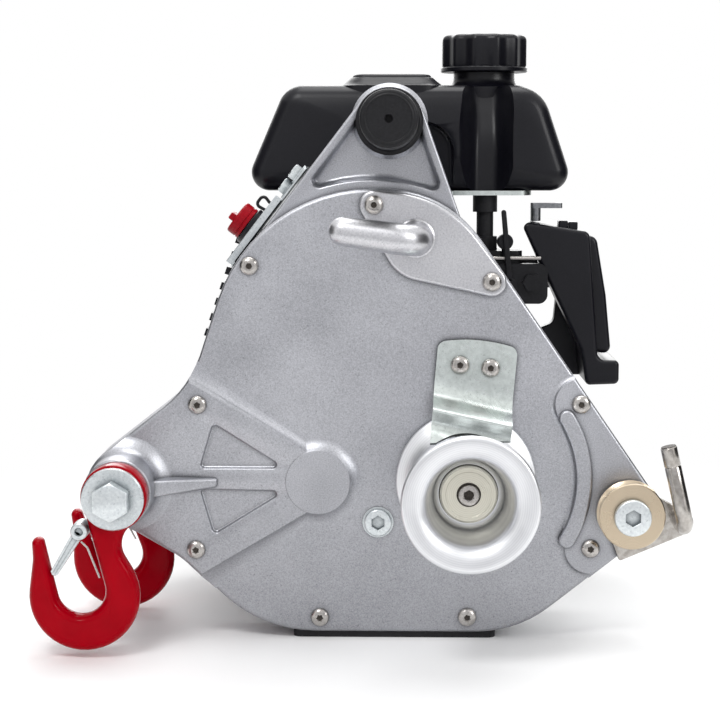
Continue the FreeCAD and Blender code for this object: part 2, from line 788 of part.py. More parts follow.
def kidney_rib():
    """Curved rib on the ear, concentric with the drum."""
    def at(radius, degrees):
        angle = math.radians(degrees)
        return FreeCAD.Vector(DRUM_X + radius * math.cos(angle), EAR_FACE,
                              DRUM_Z + radius * math.sin(angle))

    inner = KIDNEY_R - KIDNEY_HALF
    outer = KIDNEY_R + KIDNEY_HALF
    cap = math.degrees(KIDNEY_HALF / KIDNEY_R)
    middle = (KIDNEY_TOP_DEG + KIDNEY_END_DEG) / 2
    edges = [
        Part.Arc(at(outer, KIDNEY_END_DEG), at(outer, middle), at(outer, KIDNEY_TOP_DEG)),
        Part.Arc(at(outer, KIDNEY_TOP_DEG), at(KIDNEY_R, KIDNEY_TOP_DEG + cap),
                 at(inner, KIDNEY_TOP_DEG)),
        Part.Arc(at(inner, KIDNEY_TOP_DEG), at(inner, middle), at(inner, KIDNEY_END_DEG)),
        Part.Arc(at(inner, KIDNEY_END_DEG), at(KIDNEY_R, KIDNEY_END_DEG - cap),
                 at(outer, KIDNEY_END_DEG)),
    ]
    face = Part.Face(Part.Wire([edge.toShape() for edge in edges]))
    return face.extrude(FreeCAD.Vector(0, -KIDNEY_HIGH, 0))


def screw_seats():
    """Every cover screw as (x, z, y of the face under its head)."""
    seats = [(x, z, COVER_FACE) for x, z in COVER_SCREWS[3:]]
    seats += [(COVER_SCREWS[0][0], COVER_SCREWS[0][1], COVER_FACE)]
    seats += [(x, z, NOSE_FACE) for x, z in COVER_SCREWS[1:3]]
    seats += [(x, z, EAR_FACE) for x, z in EAR_SCREWS]
    seats += [(x, z, COVER_FACE - ROPE_PLATE_THICK) for x, z in ROPE_HOOK_SCREWS]
    return seats


def keeper_seats():
    """The two keeper screws, which end in the cover wall."""
    return [(x, z, COVER_FACE - KEEPER_THICK) for x, z in KEEPER_SCREWS]


def housing_cover():
    """Front casting: a shallow pan with bearing bosses, pads and the front hook boss."""
    shell = belt(case_circles(), COVER_FACE, COVER_BACK)
    shell = shell.makeFillet(COVER_EDGE_R, ring_edges(shell, COVER_FACE))
    wall_back = COVER_FACE + COVER_WALL
    shell = shell.cut(belt(cavity_circles(), wall_back, COVER_BACK))
    bosses = [
        disc(DRUM, FRONT_BEARING_R + BEARING_BOSS_WALL, wall_back, wall_back + FRONT_BEARING_WIDTH),
        disc(LAY, SMALL_BEARING_R + BEARING_BOSS_WALL, wall_back, wall_back + SMALL_BEARING_WIDTH),
        disc(HOOK, NOSE_BOSS_R, NOSE_BOSS_FRONT_Y, COVER_FACE),
    ]
    shell = joined(shell, nose_pad(), ear_pad(), kidney_rib(), nose_rib(), *bosses)
    holes = [
        disc(DRUM, SEAL_R, COVER_FACE, wall_back),
        disc(DRUM, FRONT_BEARING_R, wall_back, wall_back + FRONT_BEARING_WIDTH),
        disc(LAY, SMALL_BEARING_R, wall_back, wall_back + SMALL_BEARING_WIDTH),
        disc(HOOK, HOOK_BOLT_R, NOSE_BOSS_FRONT_Y, COVER_BACK),
        disc(SHEAVE, SHEAVE_BOLT_R, EAR_FACE, COVER_BACK),
        disc((OIL_PLUG_X, OIL_PLUG_Z), OIL_PLUG_THREAD_R, COVER_FACE, wall_back),
    ]
    holes += [disc((x, z), SCREW_R, y, COVER_BACK) for x, z, y in screw_seats()]
    holes += [disc((x, z), SCREW_R, y, wall_back) for x, z, y in keeper_seats()]
    return shell.cut(holes + nose_pockets())


def cover_gasket():
    """Thin gasket between cover and housing."""
    sheet = belt(case_circles(), COVER_BACK, 0, COVER_EDGE_R)
    holes = [belt(cavity_circles(), COVER_BACK, 0), disc(HOOK, HOOK_BOLT_R, COVER_BACK, 0)]
    holes += [disc(SHEAVE, SHEAVE_BOLT_R, COVER_BACK, 0)]
    holes += [disc((x, z), SCREW_R, COVER_BACK, 0) for x, z, _ in screw_seats()]
    return sheet.cut(holes)


def carry_arm():
    """Arm with a sunk face between rims and a boss for the grip."""
    arm = belt(arm_circles(), 0, ARM_DEPTH)
    pocket = belt(arm_circles(), 0, ARM_POCKET_DEEP, ARM_RIM)
    crown = (CASE_TOP_LEFT_X, CASE_TOP_Z - CASE_TOP_LEFT_R)
    pocket = pocket.cut(disc(crown, CASE_TOP_LEFT_R + ARM_RIM_OVER_COVER, 0, ARM_POCKET_DEEP))
    boss = disc(GRIP, ARM_TOP_R - 1.0, GRIP_ROOT_Y, ARM_POCKET_DEEP)
    return joined(arm.cut(pocket), boss)


def clutch_bell():
    """Round bell behind the gear room, with a flange for the engine."""
    tube = disc(CRANK, BELL_R, TUB_DEPTH, ENGINE_FACE)
    flange = disc(CRANK, BELL_FLANGE_R, ENGINE_FACE - BELL_FLANGE_THICK, ENGINE_FACE)
    return joined(tube, flange)


def gear_housing():
    """Rear casting: flange, gear tub, carry arm, rear nose and clutch bell."""
    flange = belt(case_circles(), 0, FLANGE_DEPTH)
    tub = belt(cavity_circles(), FLANGE_DEPTH, TUB_DEPTH, -TUB_WALL)
    nose = disc(HOOK, NOSE_BOSS_R, FLANGE_DEPTH, NOSE_BOSS_REAR_Y)
    body = joined(flange, tub, carry_arm(), clutch_bell(), nose)
    floor = TUB_DEPTH - TUB_WALL
    body = body.cut(belt(cavity_circles(), 0, floor))
    body = joined(
        body,
        disc(DRUM, TAIL_BEARING_R + BEARING_BOSS_WALL, TUB_DEPTH - TAIL_BEARING_WIDTH, floor),
        disc(LAY, SMALL_BEARING_R + BEARING_BOSS_WALL, TUB_DEPTH - SMALL_BEARING_WIDTH, floor),
        disc(CRANK, INPUT_ROOM_R, TUB_DEPTH - SMALL_BEARING_WIDTH, floor),
    )
    wall = 1.0
    holes = [
        disc(DRUM, TAIL_BEARING_R, TUB_DEPTH - TAIL_BEARING_WIDTH, TUB_DEPTH - wall),
        disc(LAY, SMALL_BEARING_R, TUB_DEPTH - SMALL_BEARING_WIDTH, TUB_DEPTH - wall),
        disc(CRANK, SMALL_BEARING_R, TUB_DEPTH - SMALL_BEARING_WIDTH, TUB_DEPTH),
        disc(CRANK, BELL_R - BELL_WALL, TUB_DEPTH, ENGINE_FACE),
        disc(HOOK, HOOK_BOLT_R, 0, NOSE_BOSS_REAR_Y),
        disc(SHEAVE, SHEAVE_BOLT_R, 0, FLANGE_DEPTH),
        disc(GRIP, HANDLE_BAR_R, GRIP_ROOT_Y, ARM_DEPTH),
    ]
    holes += [disc((x, z), SCREW_R, 0, SCREW_GRIP) for x, z, _ in screw_seats()]
    holes += [disc(spot, BELL_BOLT_R, ENGINE_FACE - BELL_FLANGE_THICK, ENGINE_FACE)
              for spot in bell_bolt_spots()]
    return body.cut(holes)


def button_screw(x, z, seat, end):
    """Button-head socket screw with its head on a seat."""
    top = seat - SCREW_HEAD_HIGH
    head = turned((x, z), [(0, seat), (SCREW_HEAD_R, seat), (SCREW_HEAD_R, seat - 1.0),
                           (0.78 * SCREW_HEAD_R, seat - 0.75 * SCREW_HEAD_HIGH),
                           (0.45 * SCREW_HEAD_R, top), (0, top)])
    socket = hex_bar((x, z), SCREW_SOCKET_R, top, top + 0.55 * SCREW_HEAD_HIGH)
    return joined(head, disc((x, z), SCREW_R, seat, end)).cut(socket)


def button_screws():
    """All the cover screws."""
    long = [button_screw(x, z, seat, SCREW_GRIP) for x, z, seat in screw_seats()]
    short = [button_screw(x, z, seat, COVER_FACE + COVER_WALL) for x, z, seat in keeper_seats()]
    return Part.makeCompound(long + short)


def oil_plug():
    """Socket plug of the oil filler."""
    spot = (OIL_PLUG_X, OIL_PLUG_Z)
    top = COVER_FACE - OIL_PLUG_HIGH
    body = joined(disc(spot, OIL_PLUG_R, top, COVER_FACE),
                  disc(spot, OIL_PLUG_THREAD_R, COVER_FACE, COVER_FACE + COVER_WALL))
    return body.cut(hex_bar(spot, OIL_PLUG_R / 2, top, COVER_FACE))


def base_pad():
    """Rubber strip under the flat bottom of the case."""
    return soft_block(PAD_LEFT_X, PAD_RIGHT_X, COVER_FACE + PAD_SETBACK, FLANGE_DEPTH - PAD_SETBACK,
                      0, PAD_THICK, PAD_CORNER_R)


# Rope fittings on the cover

def rope_hook():
    """Cast plate with a bent finger that holds the idle rope."""
    face = COVER_FACE - ROPE_PLATE_THICK
    upper, lower = ROPE_HOOK_SCREWS
    circles = [
        (*upper, ROPE_PLATE_END_R),
        (*on_crown(ROPE_PLATE_BELLY_DEG, ROPE_PLATE_BELLY_INSET), ROPE_PLATE_BELLY_R),
        (*lower, ROPE_PLATE_END_R),
        (CASE_TOP_RIGHT_X, CASE_TOP_Z - CASE_TOP_RIGHT_R, CASE_TOP_RIGHT_R - ROPE_PLATE_EDGE),
    ]
    plate = belt(circles, face, COVER_FACE)
    root = FreeCAD.Vector(FINGER_X, COVER_FACE - 1.0, FINGER_Z)
    corner = FreeCAD.Vector(FINGER_X, FINGER_Y, FINGER_Z)
    tip = FreeCAD.Vector(FINGER_X - FINGER_REACH + FINGER_TIP_R, FINGER_Y, FINGER_Z + FINGER_RISE)
    run = (tip - corner).normalize()
    past_bend = corner + run * (FINGER_BEND_R + 1.0)
    finger = pipe([root, corner, past_bend], FINGER_BEND_R, FINGER_R)
    taper = Part.makeCone(FINGER_R, FINGER_TIP_R, past_bend.distanceToPoint(tip), past_bend, run)
    ball = Part.makeSphere(FINGER_TIP_R, tip)
    flare = turned((FINGER_X, FINGER_Z), [(0, COVER_FACE - 1.0), (FINGER_FLARE_R, COVER_FACE - 1.0),
                                          (FINGER_FLARE_R, face), (FINGER_R, face - FINGER_FLARE_HIGH),
                                          (0, face - FINGER_FLARE_HIGH)])
    holes = [disc((x, z), SCREW_R, face, COVER_FACE) for x, z in ROPE_HOOK_SCREWS]
    return joined(plate, flare, finger, taper, ball).cut(holes)


def keeper_run():
    """Front face of the keeper's sheet in Y and Z, from above its top down over the drum to its lip."""
    face = COVER_FACE - KEEPER_THICK
    return [
        (face, KEEPER_TOP_Z + KEEPER_WIDTH),
        (face, KEEPER_BEND_Z),
        (face - KEEPER_SHELF, KEEPER_BEND_Z - KEEPER_SHELF_DROP),
        (face - KEEPER_REACH, KEEPER_BEND_Z - KEEPER_DROP),
        (face - KEEPER_REACH - KEEPER_LIP_REACH, KEEPER_BEND_Z - KEEPER_DROP - KEEPER_LIP),
    ]


def rope_keeper():
    """Sheet plate that bends out over the drum flange along a slanted line."""
    points = [FreeCAD.Vector(KEEPER_X - KEEPER_WIDTH, y, z) for y, z in keeper_run()]
    section = Part.makePolygon(points).makeOffset2D(-KEEPER_THICK, 2, True, True)
    sheet = section.extrude(FreeCAD.Vector(2 * KEEPER_WIDTH, 0, 0))
    middle = FreeCAD.Vector(KEEPER_X, 0, KEEPER_BEND_Z)
    sheet.rotate(middle, Y_AXIS, KEEPER_BEND_DEG)
    half = KEEPER_WIDTH / 2 - KEEPER_CORNER_R
    top = KEEPER_TOP_Z - KEEPER_CORNER_R
    low = KEEPER_BEND_Z - KEEPER_WIDTH
    blank = [(KEEPER_X - half, top, KEEPER_CORNER_R), (KEEPER_X - half, low, KEEPER_CORNER_R),
             (KEEPER_X + half, low, KEEPER_CORNER_R), (KEEPER_X + half, top, KEEPER_CORNER_R)]
    sheet = sheet.common(belt(blank, COVER_FACE - KEEPER_WIDTH, COVER_FACE))
    sheet.rotate(middle, Y_AXIS, KEEPER_TILT_DEG)
    return sheet.cut([disc((x, z), SCREW_R, y, COVER_FACE) for x, z, y in keeper_seats()])


def exit_guide():
    """Flat bar behind the sheave with a welded rod that keeps the rope in."""
    circles = [
        (*SHEAVE, GUIDE_EYE_R),
        (GUIDE_TOE_X, GUIDE_TOE_Z, GUIDE_TOE_R),
        (GUIDE_END_X, GUIDE_END_Z, GUIDE_END_R),
    ]
    bar = belt(circles, GUIDE_FACE, EAR_FACE)
    lean = math.tan(math.radians(ROD_LEAN_DEG))
    rise = ROD_TOP_Z - GUIDE_END_Z
    path = [
        FreeCAD.Vector(GUIDE_END_X, EAR_FACE, GUIDE_END_Z),
        FreeCAD.Vector(GUIDE_END_X, ROD_FRONT_Y, GUIDE_END_Z),
        FreeCAD.Vector(GUIDE_END_X + lean * rise, ROD_FRONT_Y, ROD_TOP_Z),
    ]
    return joined(bar, pipe(path, ROD_BEND_R, ROD_R)).cut(disc(SHEAVE, SHEAVE_BOLT_R, GUIDE_FACE, EAR_FACE))


def sheave():
    """Grooved rope wheel."""
    bore = SHEAVE_BOLT_R + RUN_FIT
    groove = [(bore, SHEAVE_REAR_Y), (SHEAVE_R, SHEAVE_REAR_Y), (SHEAVE_R, SHEAVE_REAR_Y - SHEAVE_LIP),
              (SHEAVE_ROOT_R, SHEAVE_REAR_Y - 0.4 * SHEAVE_WIDTH),
              (SHEAVE_ROOT_R, SHEAVE_REAR_Y - 0.6 * SHEAVE_WIDTH),
              (SHEAVE_R, SHEAVE_FRONT_Y + SHEAVE_LIP), (SHEAVE_R, SHEAVE_FRONT_Y), (bore, SHEAVE_FRONT_Y)]
    return turned(SHEAVE, groove)


def sheave_bolt():
    """Flanged socket bolt that the sheave turns on."""
    seat = SHEAVE_FRONT_Y - SIDE_GAP
    top = seat - SHEAVE_HEAD_THICK
    bolt = joined(disc(SHEAVE, SHEAVE_HEAD_R, top, seat), disc(SHEAVE, SHEAVE_BOLT_R, seat, FLANGE_DEPTH))
    return bolt.cut(hex_bar(SHEAVE, SHEAVE_SOCKET_R, top, top + 0.7 * SHEAVE_HEAD_THICK))


# Carry grip

def carry_grip():
    """Rubber sleeve with a flange at its root and a closed, vented end."""
    root = GRIP_ROOT_Y
    end = root - GRIP_LENGTH
    profile = [(HANDLE_BAR_R, root), (GRIP_FLANGE_R, root), (GRIP_FLANGE_R, root - GRIP_FLANGE_THICK),
               (GRIP_ROOT_R, root - GRIP_FLANGE_THICK - 2.0), (GRIP_END_R, end + 2.5),
               (GRIP_END_R - 2.5, end), (GRIP_VENT_R, end), (GRIP_VENT_R, end + GRIP_CAP_THICK),
               (HANDLE_BAR_R, end + GRIP_CAP_THICK)]
    return turned(GRIP, profile)


def handle_bar():
    """Steel bar inside the grip, pressed into the arm."""
    return disc(GRIP, HANDLE_BAR_R, GRIP_ROOT_Y - GRIP_LENGTH + GRIP_CAP_THICK, ARM_DEPTH)


# Safety hooks

def hook_circles():
    """Outline of a hook in place, from the eye down the throat and back up outside."""
    outline = [
        (0, 0, HOOK_EYE_R),
        (HOOK_BOWL_X, HOOK_BOWL_Z, -HOOK_BOWL_R),
        (HOOK_TIP_X, HOOK_TIP_Z, HOOK_TIP_R),
        (HOOK_FLARE_X, HOOK_FLARE_Z, -HOOK_FLARE_R),
        (HOOK_BACK_X, HOOK_BACK_Z, HOOK_BACK_R),
        (HOOK_NECK_X, HOOK_NECK_Z, -HOOK_NECK_R),
    ]
    return [(HOOK_X + x, HOOK_Z + z, r) for x, z, r in outline]


def safety_hook(y):
    """Forged hook with a lug and a riveted pin for its latch."""
    front = y - HOOK_THICK / 2
    back = y + HOOK_THICK / 2
    body = belt(hook_circles(), front, back)
    body = body.makeFillet(HOOK_EDGE_R, ring_edges(body, front) + ring_edges(body, back))
    pivot = (HOOK_X + LATCH_X, HOOK_Z + LATCH_Z)
    lug_half = LATCH_WIDTH / 2 - LATCH_SHEET - SIDE_GAP
    lug = [(*pivot, LATCH_R - 1.0), (HOOK_X - 9.0, HOOK_Z - 24.0, LATCH_R - 1.0)]
    pin_half = LATCH_WIDTH / 2 + 1.0
    body = joined(body, belt(lug, y - lug_half, y + lug_half),
                  disc(pivot, LATCH_PIN_R, y - pin_half, y + pin_half))
    return body.cut(disc(HOOK, HOOK_BOLT_R + RUN_FIT, front, back))


def latch(y):
    """Sheet channel that closes the throat, riding on the hook's pin."""
    pivot = (HOOK_X + LATCH_X, HOOK_Z + LATCH_Z)
    half = LATCH_WIDTH / 2
    ends = [(*pivot, LATCH_R), (HOOK_X + LATCH_END_X, HOOK_Z + LATCH_END_Z, LATCH_END_R)]
    bar = belt(ends, y - half, y + half)
    inner = half - LATCH_SHEET
    bar = bar.cut(disc(pivot, LATCH_R + 2.5, y - inner, y + inner))
    return bar.cut(disc(pivot, LATCH_PIN_R + RUN_FIT, y - half, y + half))


def hung_in(shape):
    """The rear hook and its latch, which hang a little further in than the front ones."""
    moved = shape.copy()
    moved.rotate(FreeCAD.Vector(HOOK_X, 0, HOOK_Z), Y_AXIS, REAR_HOOK_TURN_DEG)
    return moved


def front_washer_y():
    """Rear face of the front washer."""
    return FRONT_HOOK_Y - HOOK_THICK / 2 - SIDE_GAP


def rear_washer_y():
    """Front face of the rear washer."""
    return REAR_HOOK_Y + HOOK_THICK / 2 + SIDE_GAP


def hook_bolt():
    """Long bolt through the nose that carries both hooks."""
    seat = front_washer_y() - WASHER_THICK
    tail = rear_washer_y() + WASHER_THICK + NUT_HIGH + BOLT_TAIL
    return joined(hex_bar(HOOK, HEX_R, seat - BOLT_HEAD_HIGH, seat), disc(HOOK, HOOK_BOLT_R, seat, tail))


def hook_fittings():
    """Washers under the bolt head and nut, and the nut."""
    front = front_washer_y()
    rear = rear_washer_y()
    nut = hex_bar(HOOK, HEX_R, rear + WASHER_THICK, rear + WASHER_THICK + NUT_HIGH)
    nut = nut.cut(disc(HOOK, HOOK_BOLT_R, rear, rear + WASHER_THICK + NUT_HIGH))
    return Part.makeCompound([
        ring(HOOK, WASHER_R, HOOK_BOLT_R, front - WASHER_THICK, front),
        ring(HOOK, WASHER_R, HOOK_BOLT_R, rear, rear + WASHER_THICK),
        nut,
    ])


# Capstan and gear train

def key_block(clear):
    """Parallel key between drum and shaft, grown by a clearance."""
    low = DRUM_Z + OUTPUT_SHAFT_R - KEY_HEIGHT / 2 - clear
    front = DRUM_WEB_FRONT_Y + 4.0
    return block(DRUM_X - KEY_WIDTH / 2 - clear, DRUM_X + KEY_WIDTH / 2 + clear,
                 front - clear, front + KEY_LENGTH + clear, low, low + KEY_HEIGHT + 2 * clear)


def capstan_drum():
    """Turned drum with flared flanges and an open front bowl."""
    front = DRUM_FRONT_Y
    rear = DRUM_REAR_Y
    profile = [
        (OUTPUT_SHAFT_R, rear), (DRUM_REAR_FLANGE_R, rear), (DRUM_REAR_FLANGE_R, rear - DRUM_RIM),
        (DRUM_BARREL_R + 5.0, rear - DRUM_RIM - 0.35 * DRUM_FLARE), (DRUM_BARREL_R, rear - DRUM_RIM - DRUM_FLARE),
        (DRUM_BARREL_R, front + DRUM_RIM + 1.6 * DRUM_FLARE), (DRUM_BARREL_R + 2.0, front + DRUM_RIM + DRUM_FLARE),
        (DRUM_BARREL_R + 6.0, front + DRUM_RIM + 0.3 * DRUM_FLARE), (DRUM_FRONT_FLANGE_R, front + DRUM_RIM),
        (DRUM_FRONT_FLANGE_R, front + DRUM_LIP_ROUND),
    ]
    crest = DRUM_FRONT_FLANGE_R - DRUM_LIP_ROUND
    for step in range(DRUM_LIP_STEPS + 1):
        turn = math.pi / 2 * step / DRUM_LIP_STEPS
        inward = (crest - DRUM_BOWL_R) * math.sin(turn)
        profile.append((crest - inward, front + DRUM_LIP_DEEP * (1 - math.cos(turn))))
    profile += [(DRUM_BOWL_R, DRUM_WEB_FRONT_Y), (OUTPUT_SHAFT_R, DRUM_WEB_FRONT_Y)]
    return turned(DRUM, profile).cut(key_block(0))


def output_shaft():
    """Stepped shaft from the drum through the output gear to the tail bearing."""
    shoulder = OUTPUT_GEAR_Y + OUTPUT_GEAR_WIDTH
    tail = TUB_DEPTH - 2.0
    shaft = joined(disc(DRUM, OUTPUT_SHAFT_R, DRUM_WEB_FRONT_Y, shoulder),
                   disc(DRUM, OUTPUT_TAIL_R, shoulder, tail))
    bolt = disc(DRUM, DRUM_BOLT_R, DRUM_WEB_FRONT_Y, DRUM_WEB_FRONT_Y + DRUM_BOLT_GRIP)
    return shaft.cut([key_block(0), bolt])


def drum_retainer():
    """Thick washer that holds the drum on its shaft."""
    return ring(DRUM, RETAINER_R, DRUM_BOLT_R, DRUM_WEB_FRONT_Y - RETAINER_THICK, DRUM_WEB_FRONT_Y)


def drum_bolt():
    """Socket cap screw in the end of the output shaft."""
    seat = DRUM_WEB_FRONT_Y - RETAINER_THICK
    top = seat - DRUM_BOLT_HEAD
    screw = joined(disc(DRUM, DRUM_BOLT_HEAD_R, top, seat),
                   disc(DRUM, DRUM_BOLT_R, seat, DRUM_WEB_FRONT_Y + DRUM_BOLT_GRIP))
    return screw.cut(hex_bar(DRUM, DRUM_BOLT_SOCKET_R, top, top + 0.6 * DRUM_BOLT_HEAD))


def output_gear():
    """Large gear on the output shaft, with a thinned web."""
    y0 = OUTPUT_GEAR_Y
    y1 = y0 + OUTPUT_GEAR_WIDTH
    wheel = gear(DRUM, OUTPUT_GEAR_TEETH, y0, y1, heading(DRUM, LAY))
    rim = pitch_radius(OUTPUT_GEAR_TEETH) - 9.0
    dish = ring(DRUM, rim, OUTPUT_SHAFT_R + 10.0, y1 - 6.0, y1)
    return wheel.cut([disc(DRUM, OUTPUT_SHAFT_R, y0, y1), dish])


def layshaft():
    """Layshaft with its pinion in one piece."""
    y0 = OUTPUT_GEAR_Y
    y1 = y0 + OUTPUT_GEAR_WIDTH
    phase = heading(LAY, DRUM) + math.pi / PINION_TEETH
    front = COVER_FACE + COVER_WALL + 1.0
    return joined(gear(LAY, PINION_TEETH, y0, y1, phase),
                  disc(LAY, LAY_SHAFT_R, front, y0), disc(LAY, LAY_SHAFT_R, y1, TUB_DEPTH - 2.0))


def layshaft_gear():
    """First-stage gear on the layshaft, with a thinned web."""
    y0 = LAY_GEAR_Y
    y1 = y0 + LAY_GEAR_WIDTH
    wheel = gear(LAY, LAY_GEAR_TEETH, y0, y1, heading(LAY, CRANK))
    rim = pitch_radius(LAY_GEAR_TEETH) - 8.0
    dish = ring(LAY, rim, LAY_SHAFT_R + 9.0, y0, y0 + 3.0)
    return wheel.cut([disc(LAY, LAY_SHAFT_R, y0, y1), dish])


def input_shaft():
    """Overhung pinion shaft from the clutch drum to the first-stage gear."""
    y0 = LAY_GEAR_Y - 1.0
    y1 = LAY_GEAR_Y + LAY_GEAR_WIDTH + 1.0
    phase = heading(CRANK, LAY) + math.pi / PINION_TEETH
    return joined(gear(CRANK, PINION_TEETH, y0, y1, phase),
                  disc(CRANK, INPUT_SHAFT_R, y1, CLUTCH_DRUM_Y + CLUTCH_DRUM_WEB))


def bearing(center, outer, bore, y0, y1):
    """Shielded ball bearing: a ring with a shallow groove between its races."""
    body = ring(center, outer, bore, y0, y1)
    inner_race = bore + 0.3 * (outer - bore)
    outer_race = outer - 0.25 * (outer - bore)
    sink = 0.8
    groove = [ring(center, outer_race, inner_race, y0, y0 + sink),
              ring(center, outer_race, inner_race, y1 - sink, y1)]
    return body.cut(groove)


def output_bearings():
    """Front and tail bearings of the output shaft."""
    front = COVER_FACE + COVER_WALL
    tail = TUB_DEPTH - TAIL_BEARING_WIDTH
    return Part.makeCompound([
        bearing(DRUM, FRONT_BEARING_R, OUTPUT_SHAFT_R + RUN_FIT, front, front + FRONT_BEARING_WIDTH),
        bearing(DRUM, TAIL_BEARING_R, OUTPUT_TAIL_R + RUN_FIT, tail, TUB_DEPTH - 1.0),
    ])


def shaft_bearings():
    """Three small bearings: two for the layshaft and one for the input shaft."""
    front = COVER_FACE + COVER_WALL
    rear = TUB_DEPTH - SMALL_BEARING_WIDTH
    return Part.makeCompound([
        bearing(LAY, SMALL_BEARING_R, LAY_SHAFT_R + RUN_FIT, front, front + SMALL_BEARING_WIDTH),
        bearing(LAY, SMALL_BEARING_R, LAY_SHAFT_R + RUN_FIT, rear, TUB_DEPTH - 1.0),
        bearing(CRANK, SMALL_BEARING_R, INPUT_SHAFT_R + RUN_FIT, rear, TUB_DEPTH),
    ])


def output_seal():
    """Lip seal in the cover in front of the output bearing."""
    return ring(DRUM, SEAL_R, OUTPUT_SHAFT_R + RUN_FIT, COVER_FACE, COVER_FACE + COVER_WALL)


# Clutch and crankshaft

def clutch_drum():
    """Cup on the input shaft that the shoes grip from inside."""
    y0 = CLUTCH_DRUM_Y
    cup = disc(CRANK, CLUTCH_DRUM_R, y0, y0 + CLUTCH_DRUM_LENGTH)
    inner = CLUTCH_DRUM_R - CLUTCH_DRUM_WALL
    room = disc(CRANK, inner, y0 + CLUTCH_DRUM_WEB, y0 + CLUTCH_DRUM_LENGTH)
    return cup.cut([room, disc(CRANK, INPUT_SHAFT_R, y0, y0 + CLUTCH_DRUM_WEB)])


def clutch_shoe(side):
    """Half-round clutch shoe above or below the crankshaft axis."""
    outer = CLUTCH_DRUM_R - CLUTCH_DRUM_WALL - SHOE_GAP
    whole = ring(CRANK, outer, SHOE_ROOT_R, SHOE_Y, SHOE_Y + SHOE_WIDTH)
    reach = CLUTCH_DRUM_R
    low = CRANK_Z + SHOE_SPLIT / 2 if side > 0 else CRANK_Z - reach
    high = CRANK_Z + reach if side > 0 else CRANK_Z - SHOE_SPLIT / 2
    return whole.common(block(CRANK_X - reach, CRANK_X + reach, SHOE_Y, SHOE_Y + SHOE_WIDTH, low, high))


def crankshaft():
    """Crankshaft end with the clutch hub, running back to the flywheel."""
    hub = disc(CRANK, CLUTCH_HUB_R, SHOE_Y, SHOE_Y + SHOE_WIDTH)
    tongue = block(CRANK_X - CLUTCH_DRUM_R + CLUTCH_DRUM_WALL + 3.0,
                   CRANK_X + CLUTCH_DRUM_R - CLUTCH_DRUM_WALL - 3.0,
                   SHOE_Y, SHOE_Y + SHOE_WIDTH,
                   CRANK_Z - SHOE_SPLIT / 2 + SIDE_GAP, CRANK_Z + SHOE_SPLIT / 2 - SIDE_GAP)
    return joined(hub, tongue, disc(CRANK, CRANK_R, SHOE_Y, FAN_REAR - 8.0))


def flywheel():
    """Flywheel with fan blades on its rear face."""
    y0 = FAN_FRONT + 5.0
    y1 = y0 + FLYWHEEL_THICK
    wheel = ring(CRANK, FLYWHEEL_R, CRANK_R, y0, y1)
    inner = 0.62 * FLYWHEEL_R
    blade = block(CRANK_X + inner, CRANK_X + FLYWHEEL_R - 1.0, y1, y1 + FAN_BLADE_HIGH,
                  CRANK_Z - 1.5, CRANK_Z + 1.5)
    blades = []
    for index in range(FAN_BLADES):
        one = blade.copy()
        one.rotate(FreeCAD.Vector(CRANK_X, 0, CRANK_Z), Y_AXIS, 360 * index / FAN_BLADES)
        blades.append(one)
    return joined(wheel, *blades)


# Engine

def bell_bolt_spots():
    """Centres of the four bolts between bell and engine."""
    spots = []
    for index in range(4):
        angle = math.radians(45 + 90 * index)
        spots.append((CRANK_X + BELL_BOLT_CIRCLE_R * math.cos(angle),
                      CRANK_Z + BELL_BOLT_CIRCLE_R * math.sin(angle)))
    return spots


def bell_bolts():
    """Four hex bolts that hold the bell to the engine."""
    seat = ENGINE_FACE - BELL_FLANGE_THICK
    bolts = []
    for spot in bell_bolt_spots():
        head = hex_bar(spot, 1.7 * BELL_BOLT_R, seat - 4.5, seat)
        bolts.append(joined(head, disc(spot, BELL_BOLT_R, seat, ENGINE_FACE + BELL_BOLT_GRIP)))
    return Part.makeCompound(bolts)


def crankcase():
    """Engine block: crankcase on a foot, with a face for the bell and a plate for the fan cover."""
    foot_z = CASE_FOOT_THICK + 4.0
    circles = [
        (*CRANK, CASE_BODY_R),
        (CRANK_X - CASE_FOOT_HALF + 12.0, foot_z, 8.0),
        (CRANK_X + CASE_FOOT_HALF - 12.0, foot_z, 8.0),
    ]
    body = belt(circles, ENGINE_FACE, CASE_REAR)
    face = disc(CRANK, BELL_FLANGE_R, ENGINE_FACE, ENGINE_FACE + BELL_BOLT_GRIP)
    plate = disc(CRANK, BACK_PLATE_R, CASE_REAR, FAN_FRONT)
    foot = soft_block(CRANK_X - CASE_FOOT_HALF, CRANK_X + CASE_FOOT_HALF,
                      CASE_FOOT_FRONT_Y, CASE_FOOT_REAR_Y, 0, CASE_FOOT_THICK, 8.0)
    deck = upright_cylinder(CYLINDER_R + 6.0, 0, CYLINDER_DECK)
    deck = deck.common(block(CRANK_X - 100, CRANK_X + 100, ENGINE_FACE, CASE_REAR, 0, 300))
    case = joined(body, face, plate, foot, deck)
    holes = [disc(CRANK, CRANK_R + RUN_FIT, ENGINE_FACE, FAN_FRONT)]
    holes += [disc(spot, BELL_BOLT_R, ENGINE_FACE, ENGINE_FACE + BELL_BOLT_GRIP) for spot in bell_bolt_spots()]
    for x in (CRANK_X - CASE_FOOT_HALF + 9.0, CRANK_X + CASE_FOOT_HALF - 9.0):
        for y in (CASE_FOOT_FRONT_Y + 9.0, CASE_FOOT_REAR_Y - 9.0):
            holes.append(post(x, y, CASE_FOOT_HOLE_R, 0, CASE_FOOT_THICK))
    return case.cut(holes)


def tilted(shape):
    """Move a piece drawn upright on the crankshaft axis into the leaning cylinder's place."""
    moved = shape.copy()
    moved.rotate(FreeCAD.Vector(0, 0, 0), Y_AXIS, CYLINDER_TILT_DEG)
    moved.translate(FreeCAD.Vector(CRANK_X, CYLINDER_Y, CRANK_Z))
    return moved


